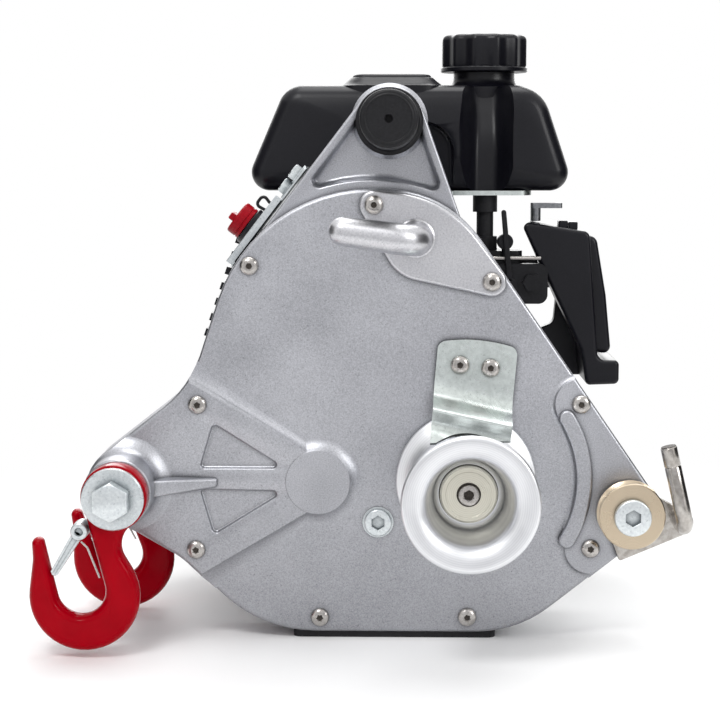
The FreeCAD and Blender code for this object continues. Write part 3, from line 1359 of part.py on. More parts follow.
def upright_cylinder(radius, z0, z1):
    """Cylinder on the leaning cylinder axis, in place."""
    return tilted(post(0, 0, radius, z0, z1))


def fin(side, depth, z0):
    """Cooling fin with round corners, still upright."""
    return soft_block(-side / 2, side / 2, -depth / 2, depth / 2, z0, z0 + FIN_THICK, FIN_CORNER_R)


def head_z():
    """Height of the head joint above the crankshaft axis."""
    return CYLINDER_DECK + FIN_COUNT * FIN_PITCH


def cylinder_block():
    """Finned cylinder barrel."""
    barrel = post(0, 0, CYLINDER_R, CYLINDER_DECK, head_z())
    fins = [fin(FIN_SIDE, FIN_DEPTH, CYLINDER_DECK + FIN_PITCH * (index + 1) - FIN_THICK)
            for index in range(FIN_COUNT)]
    return tilted(joined(barrel, *fins))


def cylinder_head():
    """Head with two fins and side faces for the ports."""
    low = head_z()
    half = HEAD_SIDE / 2
    core = half - 8.0
    body = soft_block(-core, core, -core, core, low, low + HEAD_HIGH, 6.0)
    fins = [fin(HEAD_SIDE, HEAD_SIDE, low + 4.0), fin(HEAD_SIDE, HEAD_SIDE, low + 4.0 + FIN_PITCH)]
    ports = Part.makeCylinder(PORT_R, HEAD_SIDE, FreeCAD.Vector(-half, 0, low + HEAD_HIGH / 2), X_AXIS)
    spot = (0, low + HEAD_HIGH - PLUG_DROP)
    holes = [disc(spot, PLUG_BODY_R, core - PLUG_GRIP, core), disc(spot, PLUG_HEX_R + 1.5, core, half)]
    return tilted(joined(body, ports, *fins).cut(holes))


def port_stub(side, target, radius):
    """Round pipe from a port of the head to a target, cut flush on the port face."""
    along = head_z() + HEAD_HIGH / 2
    tilt = math.radians(CYLINDER_TILT_DEG)
    reach = side * (HEAD_SIDE / 2 - 6.0)
    port = FreeCAD.Vector(CRANK_X + along * math.sin(tilt) + reach * math.cos(tilt), CYLINDER_Y,
                          CRANK_Z + along * math.cos(tilt) - reach * math.sin(tilt))
    stub = Part.makeCylinder(radius, (target - port).Length, port, target - port)
    half = HEAD_SIDE / 2
    side_fins = FIN_SIDE / 2 + SIDE_GAP
    head = tilted(block(-half, half, -half, half, head_z() - half, head_z() + 2 * half))
    barrel = tilted(block(-side_fins, side_fins, -half, half, 0, head_z() + SIDE_GAP))
    return stub.cut([head, barrel])


def valve_cover():
    """Pressed rocker cover on the head."""
    low = head_z() + HEAD_HIGH
    body = soft_block(-VALVE_COVER_WIDE / 2, VALVE_COVER_WIDE / 2, -VALVE_COVER_LONG / 2, VALVE_COVER_LONG / 2,
                      low, low + VALVE_COVER_HIGH, VALVE_COVER_CORNER_R)
    rim = [edge for edge in body.Edges if edge.BoundBox.ZMin > low + VALVE_COVER_HIGH - 0.001]
    return tilted(body.makeFillet(VALVE_COVER_EDGE_R, rim))


def spark_plug():
    """Spark plug screwed into the rear of the head."""
    spot = (0, head_z() + HEAD_HIGH - PLUG_DROP)
    seat = HEAD_SIDE / 2 - 8.0
    inner = seat - PLUG_GRIP
    hexagon = hex_bar(spot, PLUG_HEX_R, seat, seat + 8.0)
    return tilted(joined(disc(spot, PLUG_BODY_R, inner, inner + PLUG_LONG), hexagon))


def fan_cover():
    """Round cover over the flywheel."""
    outer = [(0, FAN_FRONT), (BACK_PLATE_R, FAN_FRONT), (BACK_PLATE_R, FAN_REAR - FAN_COVER_SHOULDER),
             (BACK_PLATE_R - FAN_COVER_SHOULDER, FAN_REAR), (0, FAN_REAR)]
    room = [(0, FAN_FRONT), (BACK_PLATE_R - FAN_COVER_WALL, FAN_FRONT),
            (BACK_PLATE_R - FAN_COVER_WALL, FAN_REAR - FAN_COVER_SHOULDER - 1.0),
            (BACK_PLATE_R - FAN_COVER_SHOULDER - 1.0, FAN_REAR - FAN_COVER_WALL), (0, FAN_REAR - FAN_COVER_WALL)]
    shell = turned(CRANK, outer).cut(turned(CRANK, room))
    return shell.cut(disc(CRANK, RECOIL_R - 6.0, FAN_REAR - FAN_COVER_WALL, FAN_REAR))


def recoil_cover():
    """Starter cover with a ring of air slots."""
    y1 = FAN_REAR + RECOIL_DEPTH
    outer = [(0, FAN_REAR), (RECOIL_R, FAN_REAR), (RECOIL_R, y1 - 6.0), (RECOIL_R - 6.0, y1), (0, y1)]
    room = [(0, FAN_REAR), (RECOIL_R - 3.0, FAN_REAR), (RECOIL_R - 3.0, y1 - 6.5), (RECOIL_R - 8.0, y1 - 3.0),
            (0, y1 - 3.0)]
    shell = turned(CRANK, outer).cut(turned(CRANK, room))
    slot = block(CRANK_X + 0.42 * RECOIL_R, CRANK_X + 0.82 * RECOIL_R, y1 - 3.0, y1, CRANK_Z - 2.5, CRANK_Z + 2.5)
    slots = []
    for index in range(RECOIL_SLOTS):
        one = slot.copy()
        one.rotate(FreeCAD.Vector(CRANK_X, 0, CRANK_Z), Y_AXIS, 360 * index / RECOIL_SLOTS)
        slots.append(one)
    return shell.cut(slots)


def starter_grip():
    """Pull grip of the recoil starter, parked on the starter cover."""
    y = FAN_REAR + RECOIL_DEPTH / 2
    low = CRANK_X + RECOIL_R + SIDE_GAP
    bar = Part.makeCylinder(STARTER_R, STARTER_LONG, FreeCAD.Vector(low + STARTER_R, y, CRANK_Z - STARTER_LONG / 2),
                            Z_AXIS)
    return bar.makeFillet(3.0, bar.Edges[0:1] + bar.Edges[2:3])


# Fuel tank

def tank_circles():
    """Front outline of the tank."""
    return [
        (TANK_SHOULDER_LEFT_X, TANK_SHOULDER_Z, TANK_SHOULDER_R),
        (TANK_LEFT_X, TANK_LOW_Z, TANK_LOW_R),
        (TANK_RIGHT_X, TANK_LOW_Z, TANK_LOW_R),
        (TANK_SHOULDER_RIGHT_X, TANK_SHOULDER_Z, TANK_SHOULDER_R),
    ]


def tank_top():
    """Height of the tank's flat top."""
    return TANK_SHOULDER_Z + TANK_SHOULDER_R


def fuel_tank():
    """Blow-moulded tank with a hump, a filler neck and a groove below the neck."""
    body = belt(tank_circles(), TANK_FRONT_Y, TANK_REAR_Y)
    body = body.makeFillet(TANK_EDGE_R, ring_edges(body, TANK_FRONT_Y) + ring_edges(body, TANK_REAR_Y))
    top = tank_top()
    hump = soft_block(TANK_HUMP_LEFT_X, TANK_HUMP_RIGHT_X, TANK_FRONT_Y + TANK_EDGE_R + 2.0,
                      TANK_REAR_Y - TANK_EDGE_R - 2.0, top - 6.0, top + TANK_HUMP_HIGH, 10.0)
    rim = [edge for edge in hump.Edges if edge.BoundBox.ZMin > top + TANK_HUMP_HIGH - 0.001]
    hump = hump.makeFillet(5.0, rim)
    neck = post(FILLER_X, FILLER_Y, FILLER_R, top - 6.0, FILLER_TOP_Z)
    body = joined(body, hump, neck)
    groove = post(FILLER_X, TANK_FRONT_Y, TANK_GROOVE_R, TANK_LOW_Z - TANK_LOW_R, top)
    keep_out = post(FILLER_X, TANK_FRONT_Y, TANK_GROOVE_R + TANK_WALL, TANK_LOW_Z - TANK_LOW_R, top)
    room = belt(tank_circles(), TANK_FRONT_Y + TANK_WALL, TANK_REAR_Y - TANK_WALL, TANK_WALL)
    room = room.makeFillet(TANK_EDGE_R - TANK_WALL, ring_edges(room, TANK_FRONT_Y + TANK_WALL)
                           + ring_edges(room, TANK_REAR_Y - TANK_WALL))
    bore = post(FILLER_X, FILLER_Y, FILLER_BORE_R, top - 2 * TANK_WALL, FILLER_TOP_Z)
    return body.cut([groove, room.cut(keep_out), bore])


def fuel_cap():
    """Screw cap with a fluted skirt."""
    outer = turned_up(FILLER_X, FILLER_Y, [(0, CAP_LOW_Z), (CAP_R, CAP_LOW_Z), (CAP_R, CAP_LOW_Z + CAP_BAND),
                                           (CAP_R - 1.5, CAP_TOP_Z - 4.0), (CAP_R - 5.0, CAP_TOP_Z), (0, CAP_TOP_Z)])
    room = post(FILLER_X, FILLER_Y, FILLER_R + SIDE_GAP, CAP_LOW_Z, FILLER_TOP_Z + SIDE_GAP)
    reach = CAP_R + CAP_FLUTE_R - CAP_FLUTE_DEEP
    flutes = []
    for index in range(CAP_FLUTES):
        angle = math.tau * index / CAP_FLUTES
        x = FILLER_X + reach * math.cos(angle)
        y = FILLER_Y + reach * math.sin(angle)
        flutes.append(post(x, y, CAP_FLUTE_R, CAP_LOW_Z + CAP_BAND, CAP_TOP_Z))
    return outer.cut([room] + flutes)


def tank_bracket():
    """Sheet tray under the tank with two legs to the cylinder head."""
    top = TANK_LOW_Z - TANK_LOW_R
    low = top - BRACKET_THICK
    front = TANK_FRONT_Y + BRACKET_INSET_Y
    rear = TANK_REAR_Y - BRACKET_INSET_Y
    tray = soft_block(BRACKET_LEFT_X, BRACKET_RIGHT_X, front, rear, low, top, 10.0)
    foot = CRANK_Z + (head_z() + HEAD_HIGH / 2) * math.cos(math.radians(CYLINDER_TILT_DEG)) - LEG_DROP
    half = HEAD_SIDE / 2
    legs = [block(LEG_LEFT_X, LEG_RIGHT_X, CYLINDER_Y + half, CYLINDER_Y + half + BRACKET_THICK, foot, low),
            block(LEG_LEFT_X, LEG_RIGHT_X, CYLINDER_Y - half - BRACKET_THICK, CYLINDER_Y - half, foot, low),
            block(LEG_LEFT_X, LEG_RIGHT_X, CYLINDER_Y - half - BRACKET_THICK, front, low, low + BRACKET_THICK)]
    return joined(tray, *legs)


# Carburettor side

def intake_flange():
    """Dark plate in front of the carburettor, with the throttle pivot stud."""
    circles = [
        (FLANGE_LOW_X + 6.0, FLANGE_HIGH_Z - 6.0, 6.0),
        (FLANGE_LOW_X + 6.0, FLANGE_LOW_Z + 6.0, 6.0),
        (FLANGE_HIGH_X - 6.0, FLANGE_LOW_Z + 6.0, 6.0),
        (FLANGE_HIGH_X - 6.0, FLANGE_HIGH_Z - 6.0, 6.0),
    ]
    plate = belt(circles, FLANGE_Y - FLANGE_THICK, FLANGE_Y)
    front = FLANGE_Y - FLANGE_THICK
    bolt_spot = (FLANGE_HIGH_X - 10.5, FLANGE_LOW_Z + 14.0)
    head = hex_bar(bolt_spot, 6.0, front - 4.0, front)
    stud = disc((THROTTLE_X, THROTTLE_Z), THROTTLE_PIN_R, front - THROTTLE_THICK - 2.0, front)
    return joined(plate, head, stud)


def carburettor():
    """Carburettor body with a float bowl and an inlet stub to the head."""
    y0 = FLANGE_Y
    body = soft_block(CARB_X - CARB_LONG / 2, CARB_X + CARB_LONG / 2, y0, y0 + CARB_DEEP,
                      CARB_Z - CARB_HIGH / 2, CARB_Z + CARB_HIGH / 2, 5.0)
    bowl = post(CARB_X, y0 + CARB_DEEP / 2, BOWL_R, CARB_Z - CARB_HIGH / 2 - BOWL_HIGH, CARB_Z - CARB_HIGH / 2)
    target = FreeCAD.Vector(CARB_X, CYLINDER_Y, CARB_Z)
    stub = port_stub(1, target, PORT_R - 1.0)
    cleaner = Part.makeCylinder(PORT_R, CARB_LONG + 4.0, target, X_AXIS)
    return joined(body, bowl, stub, cleaner).cut(air_cleaner_case())


def fuel_hose():
    """Short fuel pipe from the tank outlet down to the carburettor."""
    x = CARB_X - 6.0
    y = FLANGE_Y + 0.4 * CARB_DEEP
    top = TANK_LOW_Z - TANK_LOW_R - BRACKET_THICK
    low = CARB_Z + CARB_HIGH / 2
    return joined(post(x, y, HOSE_R, low, top), post(x, y, HOSE_COLLAR_R, low, low + 9.0),
                  post(x, y, HOSE_COLLAR_R, top - 11.0, top))


def throttle_lever():
    """Flat control arm that swings on the stud of the intake flange."""
    front = FLANGE_Y - FLANGE_THICK - SIDE_GAP
    half = THROTTLE_WIDE / 2
    top = (THROTTLE_X - THROTTLE_LEAN, THROTTLE_TOP_Z - half, half)
    eye = (THROTTLE_X, THROTTLE_Z, THROTTLE_PIN_R + THROTTLE_EYE)
    arm = belt([top, eye], front - THROTTLE_THICK, front)
    return arm.cut(disc((THROTTLE_X, THROTTLE_Z), THROTTLE_PIN_R + RUN_FIT, front - THROTTLE_THICK, front))


def cleaner_circles():
    """Front outline of the air cleaner case."""
    return [CLEANER_TOP_LEFT, CLEANER_WAIST, CLEANER_FOOT_LEFT, CLEANER_FOOT_RIGHT, CLEANER_HEEL,
            CLEANER_STEP, CLEANER_TOP_RIGHT]


def air_cleaner_case():
    """Box of the air cleaner, slanting in towards its foot."""
    box = belt(cleaner_circles(), CLEANER_FRONT_Y, CLEANER_REAR_Y)
    return box.makeFillet(CLEANER_EDGE_R, ring_edges(box, CLEANER_FRONT_Y))


def air_cleaner_cover():
    """Bulged outer cover of the air cleaner."""
    front = CLEANER_FRONT_Y + CLEANER_COVER_FRONT
    cover = belt(CLEANER_COVER, front, CLEANER_REAR_Y - CLEANER_COVER_REAR)
    cover = cover.makeFillet(CLEANER_COVER_EDGE_R, ring_edges(cover, front))
    return cover.cut(air_cleaner_case())


def choke_lever():
    """Upright choke spindle with a flat handle."""
    case_top = CLEANER_TOP_LEFT[1] + CLEANER_TOP_LEFT[2]
    spindle = post(CHOKE_X, CHOKE_Y, CHOKE_R, case_top + SIDE_GAP, CHOKE_TOP_Z)
    handle = soft_block(CHOKE_X - CHOKE_R, CHOKE_X + CHOKE_REACH, CHOKE_Y - CHOKE_R, CHOKE_Y + CHOKE_R,
                        CHOKE_TOP_Z - CHOKE_BAR, CHOKE_TOP_Z, 2.0)
    return joined(spindle, handle)


# Muffler side

def muffler_circles(grow):
    """Outline of the muffler before it leans with the cylinder, grown for its guard."""
    x = MUFFLER_WIDE / 2 - MUFFLER_CORNER_R
    z = MUFFLER_HIGH / 2 - MUFFLER_CORNER_R
    spots = [(-x, z), (-x, -z), (x, -z), (x, z)]
    return [(MUFFLER_X + dx, MUFFLER_Z + dz, MUFFLER_CORNER_R + grow) for dx, dz in spots]


def leaned(shape):
    """A muffler piece leaned over with the cylinder."""
    moved = shape.copy()
    moved.rotate(FreeCAD.Vector(MUFFLER_X, 0, MUFFLER_Z), Y_AXIS, MUFFLER_LEAN_DEG)
    return moved


def muffler():
    """Pressed muffler box with its pipe to the head."""
    box = leaned(belt(muffler_circles(0), MUFFLER_FRONT_Y, MUFFLER_REAR_Y))
    target = FreeCAD.Vector(MUFFLER_X, CYLINDER_Y, MUFFLER_Z)
    return joined(box, port_stub(-1, target, PORT_R - 2.0))


def muffler_guard():
    """Sheet guard round the outer half of the muffler, with ribs along it."""
    y0 = MUFFLER_FRONT_Y
    y1 = MUFFLER_REAR_Y
    shell = belt(muffler_circles(GUARD_GAP + GUARD_SHEET), y0, y1)
    shell = shell.cut(belt(muffler_circles(GUARD_GAP), y0, y1))
    low = MUFFLER_Z - MUFFLER_HIGH
    high = MUFFLER_Z + MUFFLER_HIGH
    shell = shell.cut(block(MUFFLER_X, MUFFLER_X + MUFFLER_WIDE, y0, y1, low, high))
    side = MUFFLER_X - MUFFLER_WIDE / 2 - GUARD_GAP - GUARD_SHEET
    pitch = (MUFFLER_HIGH + GUARD_GAP) / GUARD_RIBS
    ribs = []
    for index in range(GUARD_RIBS):
        z = MUFFLER_Z + (index + 0.5 - GUARD_RIBS / 2) * pitch - GUARD_RIB_WIDE / 2
        ribs.append(block(side - GUARD_RIB, side + GUARD_SINK, y0, y1, z, z + GUARD_RIB_WIDE))
    foot_front = y0 + GUARD_FOOT_SETBACK
    foot_rear = foot_front + GUARD_FOOT_LONG
    tall = block(MUFFLER_X - GUARD_FOOT_WIDE, MUFFLER_X, foot_front, foot_rear, low, high)
    feet = tall.common(belt(muffler_circles(GUARD_GAP + GUARD_SHEET / 2), foot_front, foot_rear))
    feet = feet.cut(belt(muffler_circles(0), foot_front, foot_rear))
    return leaned(joined(shell, *ribs, *feet.Solids))


# Stop switch

def on_flank(shape):
    """Move a piece drawn with its base on the X Y plane onto the left flank of the arm."""
    run_x = ARM_LEFT_X - GRIP_X
    run_z = ARM_LEFT_Z - GRIP_Z
    span = math.hypot(run_x, run_z)
    slope = math.atan2(run_z, run_x) - math.asin((ARM_FOOT_R - ARM_TOP_R) / span)
    out_x = math.sin(slope)
    out_z = -math.cos(slope)
    foot_x = GRIP_X + ARM_TOP_R * out_x
    foot_z = GRIP_Z + ARM_TOP_R * out_z
    moved = shape.copy()
    moved.rotate(FreeCAD.Vector(0, 0, 0), Y_AXIS, math.degrees(math.atan2(out_x, out_z)))
    moved.translate(FreeCAD.Vector(foot_x, 0, foot_z))
    return moved


def switch_bracket():
    """Bent sheet on the arm's flank that carries the switch, with its fixing bolt."""
    start = -SWITCH_ALONG - SWITCH_SHEET_LONG
    sheet = soft_block(start, -SWITCH_ALONG, 2.0, SWITCH_REAR_Y, 0, SWITCH_SHEET, 4.0)
    spot = FreeCAD.Vector(-SWITCH_ALONG - SWITCH_BOLT_ALONG, ARM_DEPTH / 2, SWITCH_SHEET)
    bolt = Part.makeCylinder(5.5, 4.0, spot, Z_AXIS)
    return on_flank(joined(sheet, bolt)).cut(belt(case_circles(), 0, FLANGE_DEPTH))


def switch_spot():
    """Place of the switch along the bracket sheet."""
    return -SWITCH_ALONG - SWITCH_FROM_EDGE


def switch_body():
    """Switch body between sheet and knob."""
    base = FreeCAD.Vector(switch_spot(), SWITCH_Y, SWITCH_SHEET)
    body = Part.makeCylinder(SWITCH_BODY_R, SWITCH_BODY_HIGH, base, Z_AXIS)
    return on_flank(body)


def switch_knob():
    """Red turn knob with a bar grip."""
    z0 = SWITCH_SHEET + SWITCH_BODY_HIGH + SIDE_GAP
    base = FreeCAD.Vector(switch_spot(), SWITCH_Y, z0)
    knob = Part.makeCylinder(SWITCH_KNOB_R, SWITCH_KNOB_HIGH, base, Z_AXIS)
    bar = block(switch_spot() - SWITCH_KNOB_R - 2.0, switch_spot() + SWITCH_KNOB_R - 1.0,
                SWITCH_Y - SWITCH_BAR_HALF, SWITCH_Y + SWITCH_BAR_HALF, z0, z0 + SWITCH_KNOB_HIGH + SWITCH_BAR_HIGH)
    return on_flank(joined(knob, bar))


PIECES = {
    "gear_housing": gear_housing,
    "housing_cover": housing_cover,
    "cover_gasket": cover_gasket,
    "button_screws": button_screws,
    "oil_plug": oil_plug,
    "base_pad": base_pad,
    "rope_hook": rope_hook,
    "rope_keeper": rope_keeper,
    "exit_guide": exit_guide,
    "sheave": sheave,
    "sheave_bolt": sheave_bolt,
    "carry_grip": carry_grip,
    "handle_bar": handle_bar,
    "hook_bolt": hook_bolt,
    "hook_fittings": hook_fittings,
    "front_hook": lambda: safety_hook(FRONT_HOOK_Y),
    "front_latch": lambda: latch(FRONT_HOOK_Y),
    "rear_hook": lambda: hung_in(safety_hook(REAR_HOOK_Y)),
    "rear_latch": lambda: hung_in(latch(REAR_HOOK_Y)),
    "capstan_drum": capstan_drum,
    "drum_retainer": drum_retainer,
    "drum_bolt": drum_bolt,
    "drum_key": lambda: key_block(0),
    "output_shaft": output_shaft,
    "output_gear": output_gear,
    "output_bearings": output_bearings,
    "output_seal": output_seal,
    "layshaft": layshaft,
    "layshaft_gear": layshaft_gear,
    "shaft_bearings": shaft_bearings,
    "input_shaft": input_shaft,
    "clutch_drum": clutch_drum,
    "clutch_shoe_upper": lambda: clutch_shoe(1),
    "clutch_shoe_lower": lambda: clutch_shoe(-1),
    "crankshaft": crankshaft,
    "flywheel": flywheel,
    "crankcase": crankcase,
    "cylinder_block": cylinder_block,
    "cylinder_head": cylinder_head,
    "valve_cover": valve_cover,
    "spark_plug": spark_plug,
    "fan_cover": fan_cover,
    "recoil_cover": recoil_cover,
    "starter_grip": starter_grip,
    "bell_bolts": bell_bolts,
    "fuel_tank": fuel_tank,
    "fuel_cap": fuel_cap,
    "tank_bracket": tank_bracket,
    "carburettor": carburettor,
    "intake_flange": intake_flange,
    "fuel_hose": fuel_hose,
    "air_cleaner_case": air_cleaner_case,
    "air_cleaner_cover": air_cleaner_cover,
    "choke_lever": choke_lever,
    "throttle_lever": throttle_lever,
    "muffler": muffler,
    "muffler_guard": muffler_guard,
    "switch_bracket": switch_bracket,
    "switch_body": switch_body,
    "switch_knob": switch_knob,
}

os.makedirs("parts", exist_ok=True)
for name, make in PIECES.items():
    shape = make()
    shape.exportStep(f"parts/{name}.step")
    box = shape.optimalBoundingBox(False, False)
    print(f"{name}: {len(shape.Solids)} solids, valid {shape.isValid()}, {shape.Volume / 1000:.2f} cm3,"
          f" X {box.XMin:.1f} {box.XMax:.1f} Y {box.YMin:.1f} {box.YMax:.1f} Z {box.ZMin:.1f} {box.ZMax:.1f}")
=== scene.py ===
import math

import bmesh
import bpy
from mathutils import Matrix, Vector


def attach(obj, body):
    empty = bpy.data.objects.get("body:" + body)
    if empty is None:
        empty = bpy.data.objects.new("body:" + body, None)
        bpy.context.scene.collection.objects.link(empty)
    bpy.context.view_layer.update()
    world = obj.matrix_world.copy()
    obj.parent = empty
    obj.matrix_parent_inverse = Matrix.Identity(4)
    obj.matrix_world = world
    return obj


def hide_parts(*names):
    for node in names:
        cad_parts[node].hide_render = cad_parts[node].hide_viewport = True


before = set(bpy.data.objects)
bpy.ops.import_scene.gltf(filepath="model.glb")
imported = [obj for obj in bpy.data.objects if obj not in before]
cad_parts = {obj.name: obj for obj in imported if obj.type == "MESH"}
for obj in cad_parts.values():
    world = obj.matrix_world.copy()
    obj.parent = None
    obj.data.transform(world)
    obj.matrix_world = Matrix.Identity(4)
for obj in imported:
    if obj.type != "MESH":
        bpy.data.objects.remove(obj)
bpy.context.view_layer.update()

# Gear housing
# A pressure-cast aluminium half case with the nose for the hooks, the carry arm and the clutch bell.
# It is tumbled after casting, so its skin is fine-grained and its rounded edges are a little brighter.
# Sizes here and below are in millimetres, X to the right, Y to the rear and Z up, as in the solids.
MM = 0.001
NOSE = (-161.8, 94.5)
SHEAVE = (138.1, 79.3)
DRUM = (41.3, 97.5)
CRANK = (-46.6, 96.0)
GRIP = (-4.5, 309.2)
CASE = [
    (-14.9, 173.5, 96.0),
    (-178.4, 191.9, -65.0),
    (*NOSE, 22.0),
    (-152.7, 17.4, -40.0),
    (-48.6, 84.0, 80.0),
    (48.3, 74.0, 70.0),
    (*SHEAVE, 18.3),
    (-7.5, 199.5, 70.0),
]
ARM = [(*GRIP, 21.0), (-77.7, 235.1, 8.0), (34.0, 240.0, 8.0)]
ARM_POCKET = [(*GRIP, 16.0), (-46.6, 274.1, 4.0), (-14.9, 173.5, -101.4), (21.3, 272.6, 4.0)]
TUB = [(-9.2, 163.4, 77.0), (*CRANK, 25.0), (*DRUM, 83.0)]
CASE_REAR = 14.0
ARM_REAR = 24.0
TUB_REAR = 46.0
CLOUD = 40.0


def paint(code):
    """Linear colour from an sRGB hex code."""
    parts = [int(code[k:k + 2], 16) / 255 for k in (1, 3, 5)]
    return [c / 12.92 if c <= 0.04045 else ((c + 0.055) / 1.055) ** 2.4 for c in parts] + [1.0]


def node(tree, kind, settings=None, links=None):
    """A new node with its settings, by input or property name, and its links."""
    made = tree.nodes.new(kind)
    for name, value in (settings or {}).items():
        if isinstance(name, str) and hasattr(made, name):
            setattr(made, name, value)
        else:
            made.inputs[name].default_value = value
    for name, socket in (links or {}).items():
        tree.links.new(socket, made.inputs[name])
    return made


def surface(name, **settings):
    """A material with its nodes and its object coordinates in millimetres."""
    made = bpy.data.materials.new(name)
    made.use_nodes = True
    tree = made.node_tree
    shader = tree.nodes["Principled BSDF"]
    for key, value in settings.items():
        socket = next(s for s in shader.inputs if s.name.lower() == key.replace("_", " "))
        socket.default_value = value
    place = node(tree, "ShaderNodeTexCoord").outputs["Object"]
    scaled = node(tree, "ShaderNodeVectorMath", {"operation": "SCALE", "Scale": 1 / MM}, {0: place})
    return made, tree, scaled.outputs[0]


def skinned(made, tone, light, dark, slow, rough, height, bump):
    """The material with two tones by one pattern, gloss by a slow one and a shallow bump by a third."""
    tree = made.node_tree
    shader = tree.nodes["Principled BSDF"]
    colour = node(tree, "ShaderNodeMix", {"data_type": "RGBA", 6: paint(dark), 7: paint(light)}, {0: tone})
    uneven = node(tree, "ShaderNodeMapRange", {1: 0.3, 2: 0.7, 3: rough[0], 4: rough[1]}, {0: slow})
    bumped = node(tree, "ShaderNodeBump", {"Strength": 1.0, "Distance": bump * MM}, {"Height": height})
    tree.links.new(colour.outputs[2], shader.inputs["Base Color"])
    tree.links.new(uneven.outputs[0], shader.inputs["Roughness"])
    tree.links.new(bumped.outputs[0], shader.inputs["Normal"])
    return made


def mottled(name, light, dark, grain, rough, bump, metallic=1.0, gloss=0.5):
    """A grained surface: two tones in grains of that size, a slow cloud, uneven gloss and a bump."""
    made, tree, place = surface(name, metallic=metallic, specular_ior_level=gloss)
    at = {"Vector": place}
    fine = node(tree, "ShaderNodeTexNoise", {"Scale": 1 / grain, "Detail": 3.0}, at).outputs[0]
    slow = node(tree, "ShaderNodeTexNoise", {"Scale": 1 / CLOUD, "Detail": 2.0}, at).outputs[0]
    mixed = node(tree, "ShaderNodeMix", {"data_type": "FLOAT", 0: 0.3}, {2: fine, 3: slow})
    tone = node(tree, "ShaderNodeMapRange", {1: 0.35, 2: 0.65}, {0: mixed.outputs[0]})
    return skinned(made, tone.outputs[0], light, dark, slow, rough, fine, bump)


def shaded_and_pitted(made, shade_and_pit_tone, reach, pit, low_darkening=None):
    """The material darkened by painted shade in corners and near other parts, by dark pits, and towards the
    bottom (low z, high z, share of its colour left at low z).
    """
    tree = made.node_tree
    shader = tree.nodes["Principled BSDF"]
    unshaded = shader.inputs["Base Color"].links[0].from_socket
    place = next(n for n in tree.nodes if n.bl_idname == "ShaderNodeVectorMath").outputs[0]
    # Painted shade: ambient occlusion within reach darkens the colour in corners and close to other parts.
    corner = node(tree, "ShaderNodeAmbientOcclusion", {"samples": 6, "Distance": reach * MM})
    open_share = node(tree, "ShaderNodeMapRange", {1: 0.3, 2: 0.92}, {0: corner.outputs["AO"]})
    specks = node(tree, "ShaderNodeTexNoise", {"Scale": 1 / pit, "Detail": 1.0}, {"Vector": place})
    dulled = [node(tree, "ShaderNodeMapRange", {1: 0.66, 2: 0.72, 3: 1.0, 4: 0.68}, {0: specks.outputs[0]})]
    # Darker towards the bottom, from high z down to low z.
    if low_darkening:
        height = node(tree, "ShaderNodeSeparateXYZ", {}, {0: place}).outputs["Z"]
        dulled.append(node(tree, "ShaderNodeMapRange", {1: low_darkening[0], 2: low_darkening[1], 3: low_darkening[2]}, {0: height}))
    share = open_share.outputs[0]
    for dull in dulled:
        factors = {0: share, 1: dull.outputs[0]}
        share = node(tree, "ShaderNodeMath", {"operation": "MULTIPLY"}, factors).outputs[0]
    mixed = node(tree, "ShaderNodeMix", {"data_type": "RGBA", 6: paint(shade_and_pit_tone)}, {0: share, 7: unshaded})
    tree.links.new(mixed.outputs[2], shader.inputs["Base Color"])
    return made


def belt(circles, inset=0.0, step=6.0, fixed=0):
    """Points (x, z) counter-clockwise round circles (x, z, r); a negative r is a hollow curve."""
    headings = []
    for (x0, z0, r0), (x1, z1, r1) in zip(circles, circles[1:] + circles[:1]):
        gap = math.hypot(x1 - x0, z1 - z0)
        headings.append(math.atan2(z1 - z0, x1 - x0) - math.asin((r1 - r0) / gap))
    points = []
    for k, (x, z, r) in enumerate(circles):
        turn = (headings[k] - headings[k - 1]) % math.tau
        if r < 0:
            turn -= math.tau
        count = fixed or max(2, math.ceil(abs(math.degrees(turn)) / step))
        for s in range(count + 1):
            heading = headings[k - 1] + turn * s / count
            points.append((x + (r - inset) * math.sin(heading), z - (r - inset) * math.cos(heading)))
    return points


def arc(u, v, radius, start, end, steps=6):
    """Points (u, v) along an arc, its angles in degrees."""
    angles = [math.radians(start + (end - start) * k / steps) for k in range(steps + 1)]
    return [(u + radius * math.cos(a), v + radius * math.sin(a)) for a in angles]


def rounded(front, back, front_r, back_r):
    """Profile (inset, y) of a slab with rounded edges; a narrow flat ring keeps each face flat."""
    rise = [(front_r + 0.4, front)] + arc(front_r, front + front_r, front_r, 270, 180)
    return rise + arc(back_r, back - back_r, back_r, 180, 90) + [(back_r + 0.4, back)]


def shape(points, faces):
    """A mesh from points in millimetres, its faces outward."""
    bm = bmesh.new()
    verts = [bm.verts.new(Vector(p) * MM) for p in points]
    for face in faces:
        corners = list(dict.fromkeys(face))
        if len(corners) > 2:
            bm.faces.new([verts[i] for i in corners])
    bmesh.ops.recalc_face_normals(bm, faces=bm.faces)
    mesh = bpy.data.meshes.new("shape")
    bm.to_mesh(mesh)
    bm.free()
    return mesh


def loft(rings):
    """A closed mesh through rings of equally many points, with flat ends."""
    count = len(rings[0])
    points = [p for ring in rings for p in ring]
    faces = [list(range(count)), list(range(len(points) - count, len(points)))]
    for k in range(len(rings) - 1):
        for i in range(count):
            j = (i + 1) % count
            faces.append([k * count + i, k * count + j, (k + 1) * count + j, (k + 1) * count + i])
    return shape(points, faces)


def slab(circles, profile, step=6.0):
    """A belt outline raised along Y through a profile (inset, y)."""
    return loft([[(x, y, z) for x, z in belt(circles, inset, step)] for inset, y in profile])


